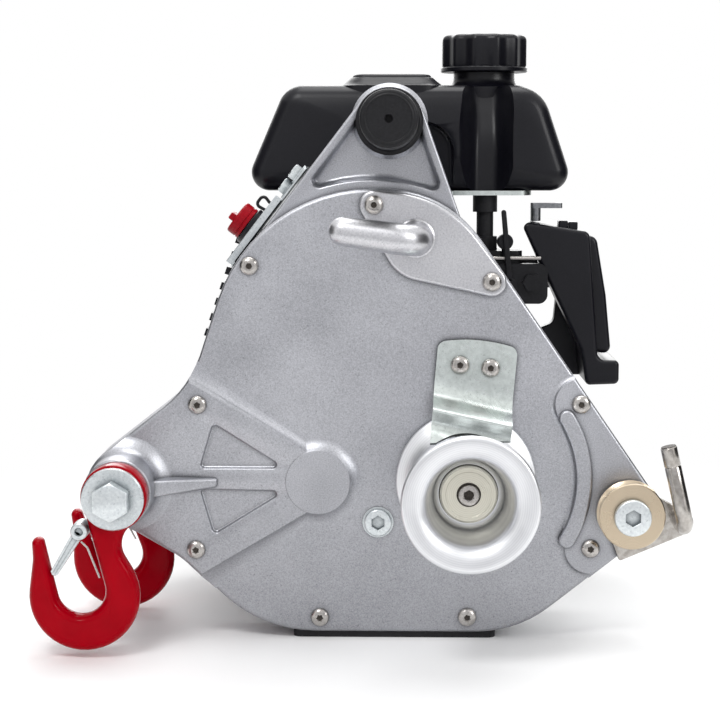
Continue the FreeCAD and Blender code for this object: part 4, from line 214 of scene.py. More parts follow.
def turned(axis, rows, count=96):
    """A closed mesh turned about the Y line through axis (x, z); rows (radius, y) may vary by angle."""
    points, rings = [], []
    for radius, y in rows:
        start = len(points)
        if radius == 0:
            points.append((axis[0], y, axis[1]))
            rings.append([start] * count)
            continue
        for k in range(count):
            a = math.tau * k / count
            r = radius(a) if callable(radius) else radius
            h = y(a) if callable(y) else y
            points.append((axis[0] + r * math.cos(a), h, axis[1] + r * math.sin(a)))
        rings.append(list(range(start, start + count)))
    if rows[0][0] != 0:
        rings.append(rings[0])
    faces = []
    for a, b in zip(rings, rings[1:]):
        faces += [[a[i - 1], a[i], b[i], b[i - 1]] for i in range(count)]
    return shape(points, faces)


def placed(name, data):
    """A new object in the scene."""
    obj = bpy.data.objects.new(name, data)
    bpy.context.scene.collection.objects.link(obj)
    return obj


def settled(obj, helper):
    """A plain mesh of an object as its modifiers leave it; the object and its helper are removed."""
    mesh = bpy.data.meshes.new_from_object(obj.evaluated_get(bpy.context.evaluated_depsgraph_get()))
    for done in (obj, helper):
        bpy.data.objects.remove(done)
    return mesh


def carved(mesh, *tools, how="DIFFERENCE"):
    """The mesh with the tools cut from it, or kept within them."""
    for tool in tools:
        blank = placed("carving", mesh)
        cut = blank.modifiers.new("carve", "BOOLEAN")
        cut.operation = how
        cut.object = placed("carving", tool)
        mesh = settled(blank, cut.object)
    return mesh


def piece(name, meshes, material, body, replaces=(), crease=32.0):
    """One finished piece from closed meshes, smooth up to the crease angle, riding on its body."""
    bm = bmesh.new()
    for mesh in meshes:
        bm.from_mesh(mesh)
    mesh = bpy.data.meshes.new(name)
    bm.to_mesh(mesh)
    bm.free()
    mesh.polygons.foreach_set("use_smooth", [True] * len(mesh.polygons))
    mesh.set_sharp_from_angle(angle=math.radians(crease))
    mesh.materials.append(material)
    obj = placed(name, mesh)
    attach(obj, body)
    if replaces:
        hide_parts(*replaces)


def coat(material, *nodes):
    """That material on CAD nodes that are shown as they are."""
    for name in nodes:
        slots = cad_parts[name].data.materials
        slots.clear()
        slots.append(material)


# Pale with a soft gloss, with painted shade in corners and darker towards the bottom. Grains here and below
# are drawn coarse, to show.
cast_aluminium = shaded_and_pitted(mottled("cast_aluminium", "#CACBD0", "#A9AAAF", 0.75, (0.36, 0.46), 0.06),
                        "#38383A", 3.5, 0.8, (5.0, 150.0, 0.7))
pocket_cut = slab(ARM_POCKET, [(-1.5, -1.0)] + arc(-1.5, 1.5, 1.5, 270, 360) + [(0.8, 6.0)]
                  + arc(3.8, 6.0, 3.0, 180, 90)[1:])
piece("housing_casting", [
    slab(CASE, rounded(0.0, CASE_REAR, 0.3, 2.5)),
    carved(slab(ARM, rounded(0.0, ARM_REAR, 1.5, 2.0)), pocket_cut),
    slab(TUB, rounded(10.0, TUB_REAR, 0.3, 4.0)),
    turned(GRIP, [(0, -4.0), (19.0, -4.0), (20.0, -3.0), (20.0, 7.0), (23.0, 9.5), (0, 9.5)]),
    turned(CRANK, [(0, 42.0), (54.0, 45.9)] + arc(54.0, 52.0, 6.0, 270, 180) + [(48.0, 69.0)]
           + arc(51.0, 69.0, 3.0, 180, 90)
           + [(57.2, 72.0), (58.0, 72.8), (58.0, 77.5), (57.5, 78.0), (0, 78.0)]),
    turned(NOSE, [(0, 12.0), (21.6, 12.0), (21.6, 14.2), (20.0, 16.4), (20.0, 33.7), (19.0, 34.7),
                  (0, 34.7)]),
], cast_aluminium, "frame", ["gear_housing"])

# Case cover
# The front half of the same casting: a raised wedge pad on the nose with two sunk panels and a rib up to
# the hook boss, and a second pad with a kidney rib at the sheave, all with bright rounded edges.
COVER_FACE = -22.0
NOSE_PAD_FACE = -26.0
EAR_PAD_FACE = -24.0
PAD_SMALL = CRANK
PAD_LARGE = (-161.8, 96.0)
PANELS = [
    [(-107.3, 127.3, 3.0), (-114.0, 106.6, 2.5), (-73.5, 106.6, 2.5)],
    [(-114.0, 89.4, 2.5), (-107.3, 68.2, 3.0), (-73.5, 88.6, 2.5)],
]
EAR_PAD = [(109.2, 143.0, 15.8), (*DRUM, -65.0), (115.9, 56.2, 15.8), (*SHEAVE, 36.6)]
RIB_FOOT = [(-146.0, -25.0, 88.0), (-146.0, -25.0, 99.8), (-106.5, -25.0, 99.2), (-106.5, -25.0, 92.5)]
RIB_TOP = [(-146.0, -42.0, 89.0), (-146.0, -42.0, 98.8), (-106.5, -27.6, 98.2), (-106.5, -27.6, 93.5)]
KIDNEY_R = 70.4
KIDNEY_HALF = 4.8
kidney_ends = [(DRUM[0] + KIDNEY_R * math.cos(a), DRUM[1] + KIDNEY_R * math.sin(a), KIDNEY_HALF)
               for a in (math.radians(-31), math.radians(32))]
KIDNEY = [kidney_ends[0], (*DRUM, KIDNEY_R + KIDNEY_HALF - 0.01), kidney_ends[1],
          (*DRUM, KIDNEY_HALF - KIDNEY_R + 0.01)]


def pad_ring(s):
    """The nose pad's outline where its cove has run a share s of its width down to the cover's face."""
    y = COVER_FACE + (NOSE_PAD_FACE - 0.4 - COVER_FACE) * (1 - s) ** 2
    outline = belt([(*PAD_SMALL, 12.0 + 5.0 * s), (*PAD_LARGE, 70.5 + 14.0 * s)], 0.0, 3.0)
    return [(x, y, z) for x, z in outline]


def bevelled(mesh, bevel):
    """The mesh with all its edges rounded."""
    bm = bmesh.new()
    bm.from_mesh(mesh)
    bmesh.ops.bevel(bm, geom=list(bm.edges), offset=bevel * MM, segments=4, profile=0.5, affect="EDGES")
    bm.to_mesh(mesh)
    bm.free()
    return mesh


panel_profile = [(-1.2, -28.0), (-0.6, -26.0), (-0.1, -25.7), (0.3, -25.0), (0.6, -23.9), (1.2, -23.5)]
pad_foot = [(x, COVER_FACE + 3, z) for x, y, z in pad_ring(1)]
nose_pad = loft([pad_foot] + [pad_ring(1 - k / 8) for k in range(9)])
nose_pad = carved(nose_pad, slab(CASE, rounded(NOSE_PAD_FACE, -18.0, 2.2, 0.3)), how="INTERSECT")
nose_pad = carved(nose_pad, *[slab(panel, panel_profile) for panel in PANELS])
pad_end = turned(PAD_SMALL, [(0, -20.0), (27.0, -20.0), (27.0, COVER_FACE)]
                 + [(27.0 - k, COVER_FACE - 4.3 * (k / 8) ** 2) for k in range(1, 9)] + [(0, -26.3)])
ear_profile = [(-2.4, -20.0), (-2.4, COVER_FACE), (-1.0, -22.3), (-0.2, -23.0), (0.2, -23.5), (0.9, -24.3)]
ear_pad = carved(slab(EAR_PAD, ear_profile), slab(CASE, rounded(EAR_PAD_FACE, -18.0, 2.2, 0.3)),
                 how="INTERSECT")
hook_boss = turned(NOSE, [(0, -20.0), (30.0, -20.0), (30.0, -25.9)]
                   + [(20.0 + 9.0 * (1 - k / 8) ** 2.2, -26.0 - 10.0 * k / 8) for k in range(9)]
                   + [(20.0, -54.2)] + arc(18.5, -54.2, 1.5, 0, -90) + [(18.1, -55.7), (0, -55.7)])
hook_boss = carved(hook_boss, slab(CASE, [(0.3, -10.0), (0.3, -60.0)]), how="INTERSECT")
piece("cover_casting", [
    slab(CASE, rounded(COVER_FACE, -0.8, 2.2, 0.3)),
    nose_pad,
    pad_end,
    ear_pad,
    hook_boss,
    slab(KIDNEY, rounded(-26.5, -23.0, 1.6, 0.2)),
    bevelled(loft([RIB_FOOT, RIB_TOP]), 1.2),
], cast_aluminium, "frame", ["housing_cover"])

# Gasket and drive inside
# A fibre gasket between the halves, ground and hobbed steel gears and shafts on ball bearings, and the
# centrifugal clutch, all closed in by the case.
# Cut steel is mid grey, ground bearing rings are brighter and smoother, and the fibre is dull and dark.
gear_steel = mottled("gear_steel", "#9A9C9F", "#77797D", 2.0, (0.28, 0.4), 0.01)
bearing_steel = mottled("bearing_steel", "#B4B6BA", "#9B9DA1", 1.5, (0.15, 0.25), 0.005)
gasket_fibre = mottled("gasket_fibre", "#4C4A46", "#34322F", 0.8, (0.8, 0.95), 0.03, metallic=0.0)
coat(gear_steel, "output_shaft", "drum_key", "output_gear", "layshaft", "layshaft_gear", "input_shaft",
     "crankshaft", "clutch_drum", "clutch_shoe_upper", "clutch_shoe_lower", "handle_bar")
coat(bearing_steel, "output_bearings", "shaft_bearings")
coat(gasket_fibre, "cover_gasket")

# Screws and oil plug
# Stainless button-head screws with six-lobed sockets hold the cover, the plates and the rope hook; the
# oil plug is a larger zinc-plated screw with a hexagon socket.
PLATE_FACE = -26.5
KEEPER_FACE = -25.0
SCREW_R = 5.5
SCREW_SEATS = [
    (-86.9, COVER_FACE, 224.5), (-45.7, COVER_FACE, 13.0), (42.8, COVER_FACE, 13.5),
    (-117.9, NOSE_PAD_FACE, 142.4), (-119.5, NOSE_PAD_FACE, 55.0),
    (109.2, EAR_PAD_FACE, 143.0), (115.9, EAR_PAD_FACE, 56.2),
    (-13.4, PLATE_FACE, 260.5), (55.8, PLATE_FACE, 215.5),
    (37.5, KEEPER_FACE, 166.5), (55.5, KEEPER_FACE, 164.7),
]
PLUG = (-10.8, 71.4)


def lobed(a):
    """Radius of a six-lobed socket at an angle."""
    return 2.0 + 0.28 * math.cos(6 * a)


def hexed(across):
    """Radius of a hexagon of that inner radius at an angle."""
    return lambda a: across / math.cos((a + math.pi / 6) % (math.pi / 3) - math.pi / 6)


def hex_socket(flat, face, floor):
    """Rows of a hexagon socket of that inner radius, with a bevelled rim, from a face down to its floor."""
    return [(hexed(flat), face), (hexed(flat - 0.3), face + 0.3), (hexed(flat - 0.3), floor), (0, floor)]


def instanced(name, unit, seats, material, seed):
    """Copies of a unit mesh at the seats, each turned about Y at random, as one plain mesh."""
    host = placed(name, shape(seats, []))
    source = placed(name + "_unit", unit)
    tree = bpy.data.node_groups.new(name, "GeometryNodeTree")
    ports = {}
    for label, kind in (("Geometry", "Geometry"), ("Unit", "Object"), ("Turn", "Float"), ("Seed", "Int")):
        port = tree.interface.new_socket(label, in_out="INPUT", socket_type="NodeSocket" + kind)
        ports[label] = port.identifier
    tree.interface.new_socket("Geometry", in_out="OUTPUT", socket_type="NodeSocketGeometry")
    given = node(tree, "NodeGroupInput").outputs
    info = node(tree, "GeometryNodeObjectInfo", {}, {"Object": given["Unit"]})
    angle = node(tree, "FunctionNodeRandomValue", {}, {3: given["Turn"], "Seed": given["Seed"]})
    swung = node(tree, "ShaderNodeCombineXYZ", {}, {"Y": angle.outputs[1]})
    copies = node(tree, "GeometryNodeInstanceOnPoints", {}, {
        "Points": given["Geometry"], "Instance": info.outputs["Geometry"], "Rotation": swung.outputs[0]})
    real = node(tree, "GeometryNodeRealizeInstances", {}, {"Geometry": copies.outputs[0]})
    dressed = node(tree, "GeometryNodeSetMaterial", {"Material": material}, {"Geometry": real.outputs[0]})
    node(tree, "NodeGroupOutput", {}, {"Geometry": dressed.outputs[0]})
    spread = host.modifiers.new("copies", "NODES")
    spread.node_group = tree
    spread[ports["Unit"]] = source
    spread[ports["Turn"]] = math.tau
    spread[ports["Seed"]] = seed
    return settled(host, source)


# Warm grey and shiny, with a small highlight on each dome.
stainless = mottled("stainless_steel", "#C6C2BE", "#A9A5A1", 0.9, (0.2, 0.32), 0.006)
dome = [math.radians(6 * k) for k in range(1, 11)]
screw = turned((0, 0), [(0, 0.0), (SCREW_R, 0.0), (SCREW_R, -0.5)]
               + [(SCREW_R * math.cos(a), -0.5 - 2.8 * math.sin(a)) for a in dome]
               + [(lobed, -2.95), (lobed, -1.3), (0, -1.3)], 72)
piece("cover_screws", [instanced("cover_screws", screw, SCREW_SEATS, stainless, 5)],
      stainless, "frame", ["button_screws"])
# Bright zinc plating is bluish white with a soft gloss and a few dark pits; painted shade darkens its
# corners.
zinc = shaded_and_pitted(mottled("bright_zinc", "#E4E9EA", "#CBD1D4", 1.6, (0.22, 0.34), 0.012, metallic=0.8),
              "#6F767A", 5.0, 1.2)
piece("oil_plug_screw", [
    turned(PLUG, [(0, -21.9), (9.3, -21.9), (9.3, -22.5), (8.0, -22.7), (8.0, -24.6)]
           + arc(7.1, -24.6, 0.9, 0, -90) + hex_socket(4.0, -25.5, -22.6)),
], zinc, "frame", ["oil_plug"])
# The floors of the sockets are painted near black and dull: painted shade deep in each socket.
socket_shade = mottled("socket_shade", "#57504A", "#2A2622", 0.6, (0.5, 0.7), 0.02, metallic=0.0, gloss=0.3)
floor_disc = turned((0, 0), [(0, -1.25), (1.75, -1.25), (1.75, -1.6), (0, -1.6)], 24)
piece("socket_floors", [instanced("socket_floors", floor_disc, SCREW_SEATS, socket_shade, 5)],
      socket_shade, "frame")

# Base pad and carry grip
# A moulded rubber strip under the flat bottom, and a thick moulded rubber sleeve pushed over the steel
# handle bar up to the boss of the arm, with a flange at its root and a vent in its closed end.
GRIP_ROOT = -4.0
GRIP_END = -99.0
# Near black with a broad, weak sheen.
rubber = mottled("black_rubber", "#1A1A1D", "#0F0F12", 1.4, (0.4, 0.55), 0.03, metallic=0.0, gloss=0.3)
coat(rubber, "base_pad", "output_seal", "fuel_hose")
grip_rows = [(0, GRIP_END + 5.0), (2.0, GRIP_END + 5.0), (2.0, GRIP_END + 0.5), (2.5, GRIP_END)]
grip_rows += [(12.4, GRIP_END)] + arc(13.0, GRIP_END + 0.15, 0.6, 200, 340, 4) + [(13.9, GRIP_END + 0.1)]
grip_rows += arc(13.9, GRIP_END + 2.1, 2.1, -80, 0)
grip_rows += [(17.0, GRIP_ROOT - 8.0)] + arc(19.4, GRIP_ROOT - 7.4, 2.4, 180, 90, 4)
grip_rows += [(19.6, GRIP_ROOT - 5.0), (20.0, GRIP_ROOT - 4.5), (20.0, GRIP_ROOT - 0.4), (19.6, GRIP_ROOT)]
grip_rows += [(0, GRIP_ROOT)]
piece("grip_sleeve", [turned(GRIP, grip_rows)], rubber, "frame", ["carry_grip"], 45.0)

# Rope hook
# A gravity-cast plate with a thick finger bent to the left that parks the idle rope. Two screws hold it
# on the cover, and the casting is brushed brighter than the case.
ROPE_PLATE = [(-13.4, 260.5, 8.5), (16.0, 240.0, 24.0), (55.8, 215.5, 8.5), (-7.5, 199.5, 68.5)]
FINGER_R = 9.0
FINGER_TIP_R = 8.3
FINGER = [(11.0, -24.0, 241.0), (11.0, -60.0, 241.0), (-30.4, -60.0, 246.6)]


def bent(corners, bend, steps=12):
    """Points along straight runs that bends of that radius join."""
    path = [Vector(corners[0])]
    for before, at, after in zip(corners, corners[1:], corners[2:]):
        at = Vector(at)
        back = (Vector(before) - at).normalized()
        ahead = (Vector(after) - at).normalized()
        half = back.angle(ahead) / 2
        centre = at + (back + ahead).normalized() * bend / math.sin(half)
        arm = at + back * bend / math.tan(half) - centre
        turn = Matrix.Rotation((math.pi - 2 * half) / steps, 3, back.cross(ahead) * -1)
        for _ in range(steps + 1):
            path.append(centre + arm)
            arm = turn @ arm
    return path + [Vector(corners[-1])]


def tube(path, radii, sides=32):
    """A closed round tube along a path, with a radius at each point."""
    side = Vector((0.3, 0.2, 1.0))
    angles = [math.tau * i / sides for i in range(sides)]
    rings = []
    for k, point in enumerate(path):
        ahead = (path[min(k + 1, len(path) - 1)] - path[max(k - 1, 0)]).normalized()
        side = (side - ahead * side.dot(ahead)).normalized()
        other = ahead.cross(side)
        rings.append([point + (side * math.cos(a) + other * math.sin(a)) * radii[k] for a in angles])
    return loft(rings)


def round_end(path, radius, steps=8):
    """The path and radii of a tube that ends in a half ball."""
    ahead = (path[-1] - path[-2]).normalized()
    angles = [math.radians(88) * k / steps for k in range(1, steps + 1)]
    return (path + [path[-1] + ahead * radius * math.sin(a) for a in angles],
            [radius] * len(path) + [radius * math.cos(a) for a in angles])


# Brushed lighter than the case, with dark pits; painted shade darkens its corners.
brushed_casting = shaded_and_pitted(mottled("brushed_casting", "#DCDCDF", "#C4C4C8", 1.1, (0.28, 0.38), 0.02),
                         "#4A4947", 3.0, 0.7)
finger_path = bent(FINGER, 13.0)
start, end = finger_path[-2], finger_path[-1]
taper = [k / 6 for k in range(1, 7)]
finger_radii = [FINGER_R] * (len(finger_path) - 1)
finger_radii += [FINGER_R + (FINGER_TIP_R - FINGER_R) * s for s in taper]
finger_path = finger_path[:-1] + [start.lerp(end, s) for s in taper]
finger_path, tip_radii = round_end(finger_path, FINGER_TIP_R)
finger_radii += tip_radii[len(finger_radii):]
root = [Vector((FINGER[0][0], y, FINGER[0][2])) for y in (-23.0, -26.6, -27.2, -28.6, -30.6, -33.4)]
piece("rope_hook_casting", [
    slab(ROPE_PLATE, rounded(PLATE_FACE, -22.0, 1.8, 0.3), 4.0),
    tube(root + finger_path[1:], [11.4, 11.4, 10.4, 9.8, 9.3, FINGER_R] + finger_radii[1:], 40),
], brushed_casting, "frame", ["rope_hook"])

# Rope keeper
# A bent and zinc-plated steel plate, screwed to the cover above the drum; its lower part stands out over
# the drum's rear flange, along a slanted bend, and keeps the turns from climbing.
KEEPER_AT = (45.0, 144.0)
KEEPER_HALF = 23.5
KEEPER_CORNER = 4.0
KEEPER_BOW = 3.0
KEEPER_CREASE = -9.0
KEEPER_FLAP = 19.0
KEEPER_THICK = 2.2
KEEPER_BEND = math.radians(7.4)
KEEPER_TILT = math.radians(5.0)
KEEPER_CLEAR = 31.0
KEEPER_LOW = 123.8


def flap_y(share):
    """Depth of the hollow flap at a share of its height below the crease."""
    return -42.6 + 3.0 * math.sin(math.pi * min(share * 1.6, 1.0)) - 8.0 * share ** 2


def keeper_run():
    """The plate's front face as points (y, z) from its top: a wide bend, a crease and a hollow flap."""
    corners = [(0.0, KEEPER_FACE, 37.0), (0.0, KEEPER_FACE, 2.0), (0.0, -41.5, -5.5)]
    run = [(p.y, p.z) for p in bent(corners, 14.0, 10)]
    run = run[:-1] + [(-41.2, -5.3), (-42.4, -6.3), (-42.8, -7.6)]
    return run + [(flap_y(k / 8), KEEPER_CREASE - KEEPER_FLAP * k / 8) for k in range(1, 9)]


def keeper_sheet(across=40):
    """The plate bent along its slanted line, with round upper corners, as a closed sheet."""
    run = keeper_run()
    points = []
    for lift in (0.0, KEEPER_THICK):
        for i in range(across + 1):
            u = -KEEPER_HALF * math.cos(math.pi * i / across)
            over = max(abs(u) - KEEPER_HALF + KEEPER_CORNER, 0.0)
            corner = KEEPER_CORNER - math.sqrt(max(KEEPER_CORNER ** 2 - over ** 2, 0.0))
            crown = corner + KEEPER_BOW * (u / KEEPER_HALF) ** 2
            slope = -u * math.tan(KEEPER_BEND)
            x = KEEPER_AT[0] + u * math.cos(KEEPER_TILT)
            low = DRUM[1] + math.sqrt(max(KEEPER_CLEAR ** 2 - (x - DRUM[0]) ** 2, 0.0))
            low = max(low, KEEPER_LOW) - KEEPER_AT[1] + u * math.sin(KEEPER_TILT)
            share = min(1.0, (slope + KEEPER_CREASE - low) / KEEPER_FLAP)
            for k, (y, z) in enumerate(run):
                ahead, behind = run[min(k + 1, len(run) - 1)], run[max(k - 1, 0)]
                along = Vector((0.0, ahead[0] - behind[0], ahead[1] - behind[1])).normalized()
                if k == 0:
                    z = run[0][1] - crown - slope
                elif z < KEEPER_CREASE:
                    part = share * (KEEPER_CREASE - z) / KEEPER_FLAP
                    y, z = flap_y(part), KEEPER_CREASE - KEEPER_FLAP * part
                y, z = y - along.z * lift, z / math.cos(KEEPER_BEND) + slope + along.y * lift
                points.append((x + z * math.sin(KEEPER_TILT), y,
                               KEEPER_AT[1] + z * math.cos(KEEPER_TILT) - u * math.sin(KEEPER_TILT)))
    high = len(run)
    size = high * (across + 1)
    faces = []
    for i in range(across):
        for k in range(high - 1):
            at = i * high + k
            quad = [at, at + 1, at + high + 1, at + high]
            faces += [quad, [size + c for c in quad]]
    rim = list(range(high)) + [i * high + high - 1 for i in range(1, across + 1)]
    rim += [across * high + k for k in range(high - 2, -1, -1)]
    rim += [i * high for i in range(across - 1, 0, -1)]
    faces += [[rim[i - 1], rim[i], size + rim[i], size + rim[i - 1]] for i in range(len(rim))]
    return shape(points, faces)


# The thin plating is pale with a faint green cast and a few dark pits; painted shade darkens it where the
# drum stands close.
yellow_zinc = shaded_and_pitted(mottled("yellow_zinc", "#E4EBE8", "#D0D7D4", 3.0, (0.24, 0.34), 0.004),
                     "#4A4F4C", 34.0, 0.9)
piece("keeper_plate", [keeper_sheet()], yellow_zinc, "frame", ["rope_keeper"])

# Capstan drum
# Turned from aluminium bar and polished: a waisted barrel between a rear flange and a rounded front lip,
# with a deep bowl in front where a zinc washer and a socket cap screw hold it on the output shaft.
DRUM_REAR = -26.0
DRUM_FRONT = -102.0
BARREL_R = 28.5
BOWL_FLOOR = -66.0
SHADE_RINGS = [(0, 2.8, -70.3, -70.7, 36), (5.8, 7.0, -69.7, -70.05, 60), (16.4, 17.0, -66.0, -66.15, 72)]


def spun(name, light, dark, axis, rough, pitch, bump):
    """A turned metal: faint rings of that pitch round a Y axis, with uneven gloss."""
    made, tree, place = surface(name, metallic=1.0)
    centre = (axis[0], 0.0, axis[1])
    centred = node(tree, "ShaderNodeVectorMath", {"operation": "SUBTRACT", 1: centre}, {0: place})
    rings = node(tree, "ShaderNodeTexWave", {
        "wave_type": "RINGS", "rings_direction": "Y", "Scale": 0.314 / pitch, "Distortion": 0.6,
        "Detail": 2.0, "Detail Scale": 2.0}, {"Vector": centred.outputs[0]}).outputs["Fac"]
    slow = node(tree, "ShaderNodeTexNoise", {"Scale": 1 / 12, "Detail": 3.0}, {"Vector": place}).outputs[0]
    both = node(tree, "ShaderNodeMix", {"data_type": "FLOAT", 0: 0.5}, {2: rings, 3: slow})
    return skinned(made, both.outputs[0], light, dark, slow, rough, rings, bump)


# Polished aluminium is nearly white; its faint tool rings are drawn wider apart than real ones, to show.
turned_aluminium = spun("turned_aluminium", "#EEEFF1", "#DCDDE0", DRUM, (0.33, 0.42), 1.2, 0.001)
drum_rows = [(0, DRUM_REAR), (40.3, DRUM_REAR)] + arc(40.3, DRUM_REAR - 1.2, 1.2, 90, 0, 4)
drum_rows += [(41.5, -28.6)] + arc(40.1, -28.6, 1.4, 0, -80, 5)
drum_rows += [(BARREL_R + 11.2 * (1 - k / 12) ** 2.4, -30.2 - 16.0 * k / 12) for k in range(1, 13)]
drum_rows += [(BARREL_R + 10.3 * (k / 14) ** 2.2, -75.0 - 23.3 * k / 14) for k in range(15)]
drum_rows += arc(36.4, -99.4, 2.6, 20, -90, 7)
drum_rows += [(36.4 - 11.9 * math.sin(t), DRUM_FRONT + 8.5 * (1 - math.cos(t)))
              for t in (math.pi * k / 36 for k in range(1, 16))]
drum_rows += [(24.4, -94.9), (23.9, -92.5), (20.7, -71.5)] + arc(16.9, -69.6, 3.6, -10, 90, 8)
drum_rows += [(0, BOWL_FLOOR)]
piece("drum", [turned(DRUM, drum_rows, 160)],
      turned_aluminium, "capstan", ["capstan_drum"])
# The washer's plating has a faint yellow cast over its own tool rings.
retainer_zinc = spun("retainer_zinc", "#E2DFD2", "#CDCABB", DRUM, (0.26, 0.36), 1.1, 0.002)
piece("drum_washer", [
    turned(DRUM, [(0, BOWL_FLOOR), (16.5, BOWL_FLOOR), (16.5, -69.0), (15.5, -70.0), (13.2, -70.0),
                  (12.9, -69.8), (0, -69.8)]),
], retainer_zinc, "capstan", ["drum_retainer"])
piece("drum_screw", [
    turned(DRUM, [(0, -69.7), (5.9, -69.7), (5.9, -72.2)] + arc(4.9, -72.2, 1.0, 0, -90, 4)
           + hex_socket(3.1, -73.2, -70.4), 72),
], stainless, "capstan", ["drum_bolt"])
# Thin dark rings of painted shade: in the screw's socket, round its head and in the gap round the washer.
piece("drum_grime", [turned(DRUM, [(r0, y0), (r1, y0), (r1, y1), (r0, y1)], count)
                     for r0, r1, y0, y1, count in SHADE_RINGS], socket_shade, "capstan")

# Sheave and rope exit guide
# A turned brass-coloured rope wheel runs on a flanged socket bolt in front of a flat bar; a round steel
# rod, its saw-cut end darkened by painted shade, is welded to the bar and bent up beside the wheel to hold
# the rope on it.
SHEAVE_MIDDLE = -35.3
SHEAVE_HALF = 7.0
SHEAVE_R = 19.5
ROD_R = 4.8
ROD = [(168.7, -24.0, 73.0), (168.7, -50.0, 73.0), (156.98, -50.0, 122.6)]
GUIDE_BAR = [(*SHEAVE, 15.5), (133.5, 51.5, 1.5), (168.7, 73.0, 7.5)]
sheave_metal = spun("sheave_gold", "#D3C4AD", "#C0AF97", SHEAVE, (0.24, 0.34), 0.9, 0.003)
rim = [(6.0, SHEAVE_HALF), (SHEAVE_R - 0.6, SHEAVE_HALF), (SHEAVE_R, SHEAVE_HALF - 0.6), (SHEAVE_R, 5.0)]
groove = [(14.0 + 5.3 * abs(k / 8) ** 1.8, -4.8 * k / 8) for k in range(-8, 9)]
wheel = rim + groove + [(r, -h) for r, h in reversed(rim)]
piece("rope_wheel", [turned(SHEAVE, [(r, SHEAVE_MIDDLE + h) for r, h in wheel])],
      sheave_metal, "sheave", ["sheave"])
piece("wheel_bolt", [
    turned(SHEAVE, [(0, -25.0), (5.9, -25.0), (5.9, -42.6), (10.3, -42.6), (10.8, -43.1), (10.8, -46.4)]
           + arc(9.6, -46.4, 1.2, 0, -90, 4) + hex_socket(4.6, -47.6, -43.9)),
], zinc, "frame", ["sheave_bolt"])
# Drawn steel is warm grey and shiny, with slow darker patches.
rod_steel = mottled("rod_steel", "#C2BEB9", "#9A958F", 3.0, (0.16, 0.26), 0.02)
rod_path = bent(ROD, 13.0)
lean = (rod_path[-1] - rod_path[-2]).normalized()
rod_end = rod_path[-1]
rod_path = rod_path[:-1] + [rod_end - lean * back for back in (12.6, 12.0, 11.4, 1.0, 0.3)]
rod_radii = [ROD_R] * (len(rod_path) - 5) + [ROD_R, ROD_R - 0.35, ROD_R, ROD_R, ROD_R - 0.6]
piece("exit_rod", [tube(rod_path, rod_radii, 40), slab(GUIDE_BAR, rounded(-28.0, -24.0, 0.6, 0.3), 4.0)],
      rod_steel, "frame", ["exit_guide"])
# A thin dark disc paints shade on the rod's cut end.
piece("rod_cut", [tube([rod_end - lean * 0.4, rod_end], [ROD_R - 0.5] * 2, 40)],
      socket_shade, "frame")

# Safety hooks
# Two drop-forged hooks with a round-edged section, in glossy red paint, swing on one long zinc-plated bolt
# through the nose; a pressed sheet latch on a hollow rivet closes each throat under a wire spring.
HOOK = [(0, 0, 19.0), (-20.2, -55.0, -14.1), (-44.6, -27.6, 3.6), (-68.0, -36.0, -20.0),
        (-18.3, -58.3, 32.2), (17.6, -28.2, -14.0)]
HOOK_HALF = 7.0
LATCH_PIN = (-20.0, -19.5)
LATCH_ROOT = (-21.5, -22.0)
LATCH_TIP = (-34.6, -43.6)
WIRE = [(-18.6, -24.9), (-15.0, -28.5), (-8.2, -46.0)]
WIRE_Y = -7.7
HEX_FLAT = 9.79
HEX_FACE = 9.3
FRONT_HOOK_Y = -63.0
REAR_HOOK_Y = 42.0
REAR_HOOK_TURN = math.radians(-6.5)


def hung(mesh, y, turn):
    """A mesh drawn round the hook's pivot, turned about it and set in its place on the nose."""
    mesh.transform(Matrix.Translation(Vector((NOSE[0], y, NOSE[1])) * MM) @ Matrix.Rotation(turn, 4, "Y"))
    return mesh


def forged_ring(share):
    """The hook's outline at a share of its half thickness, rounded over like a forging, less at its tip."""
    inset = 4.4 * (1 - math.sqrt(max(0.0, 1 - share ** 2)))
    drawn_in = [(x, z, r - inset * (0.78 if 0 < r < 5 else 1.0)) for x, z, r in HOOK]
    return [(x, HOOK_HALF * share, z) for x, z in belt(drawn_in, fixed=28)]


def fallen(a):
    """How far the corner of the bolt's hexagon falls back from its round face at an angle."""
    return 0.6 * (hexagon(a) - HEX_FACE)


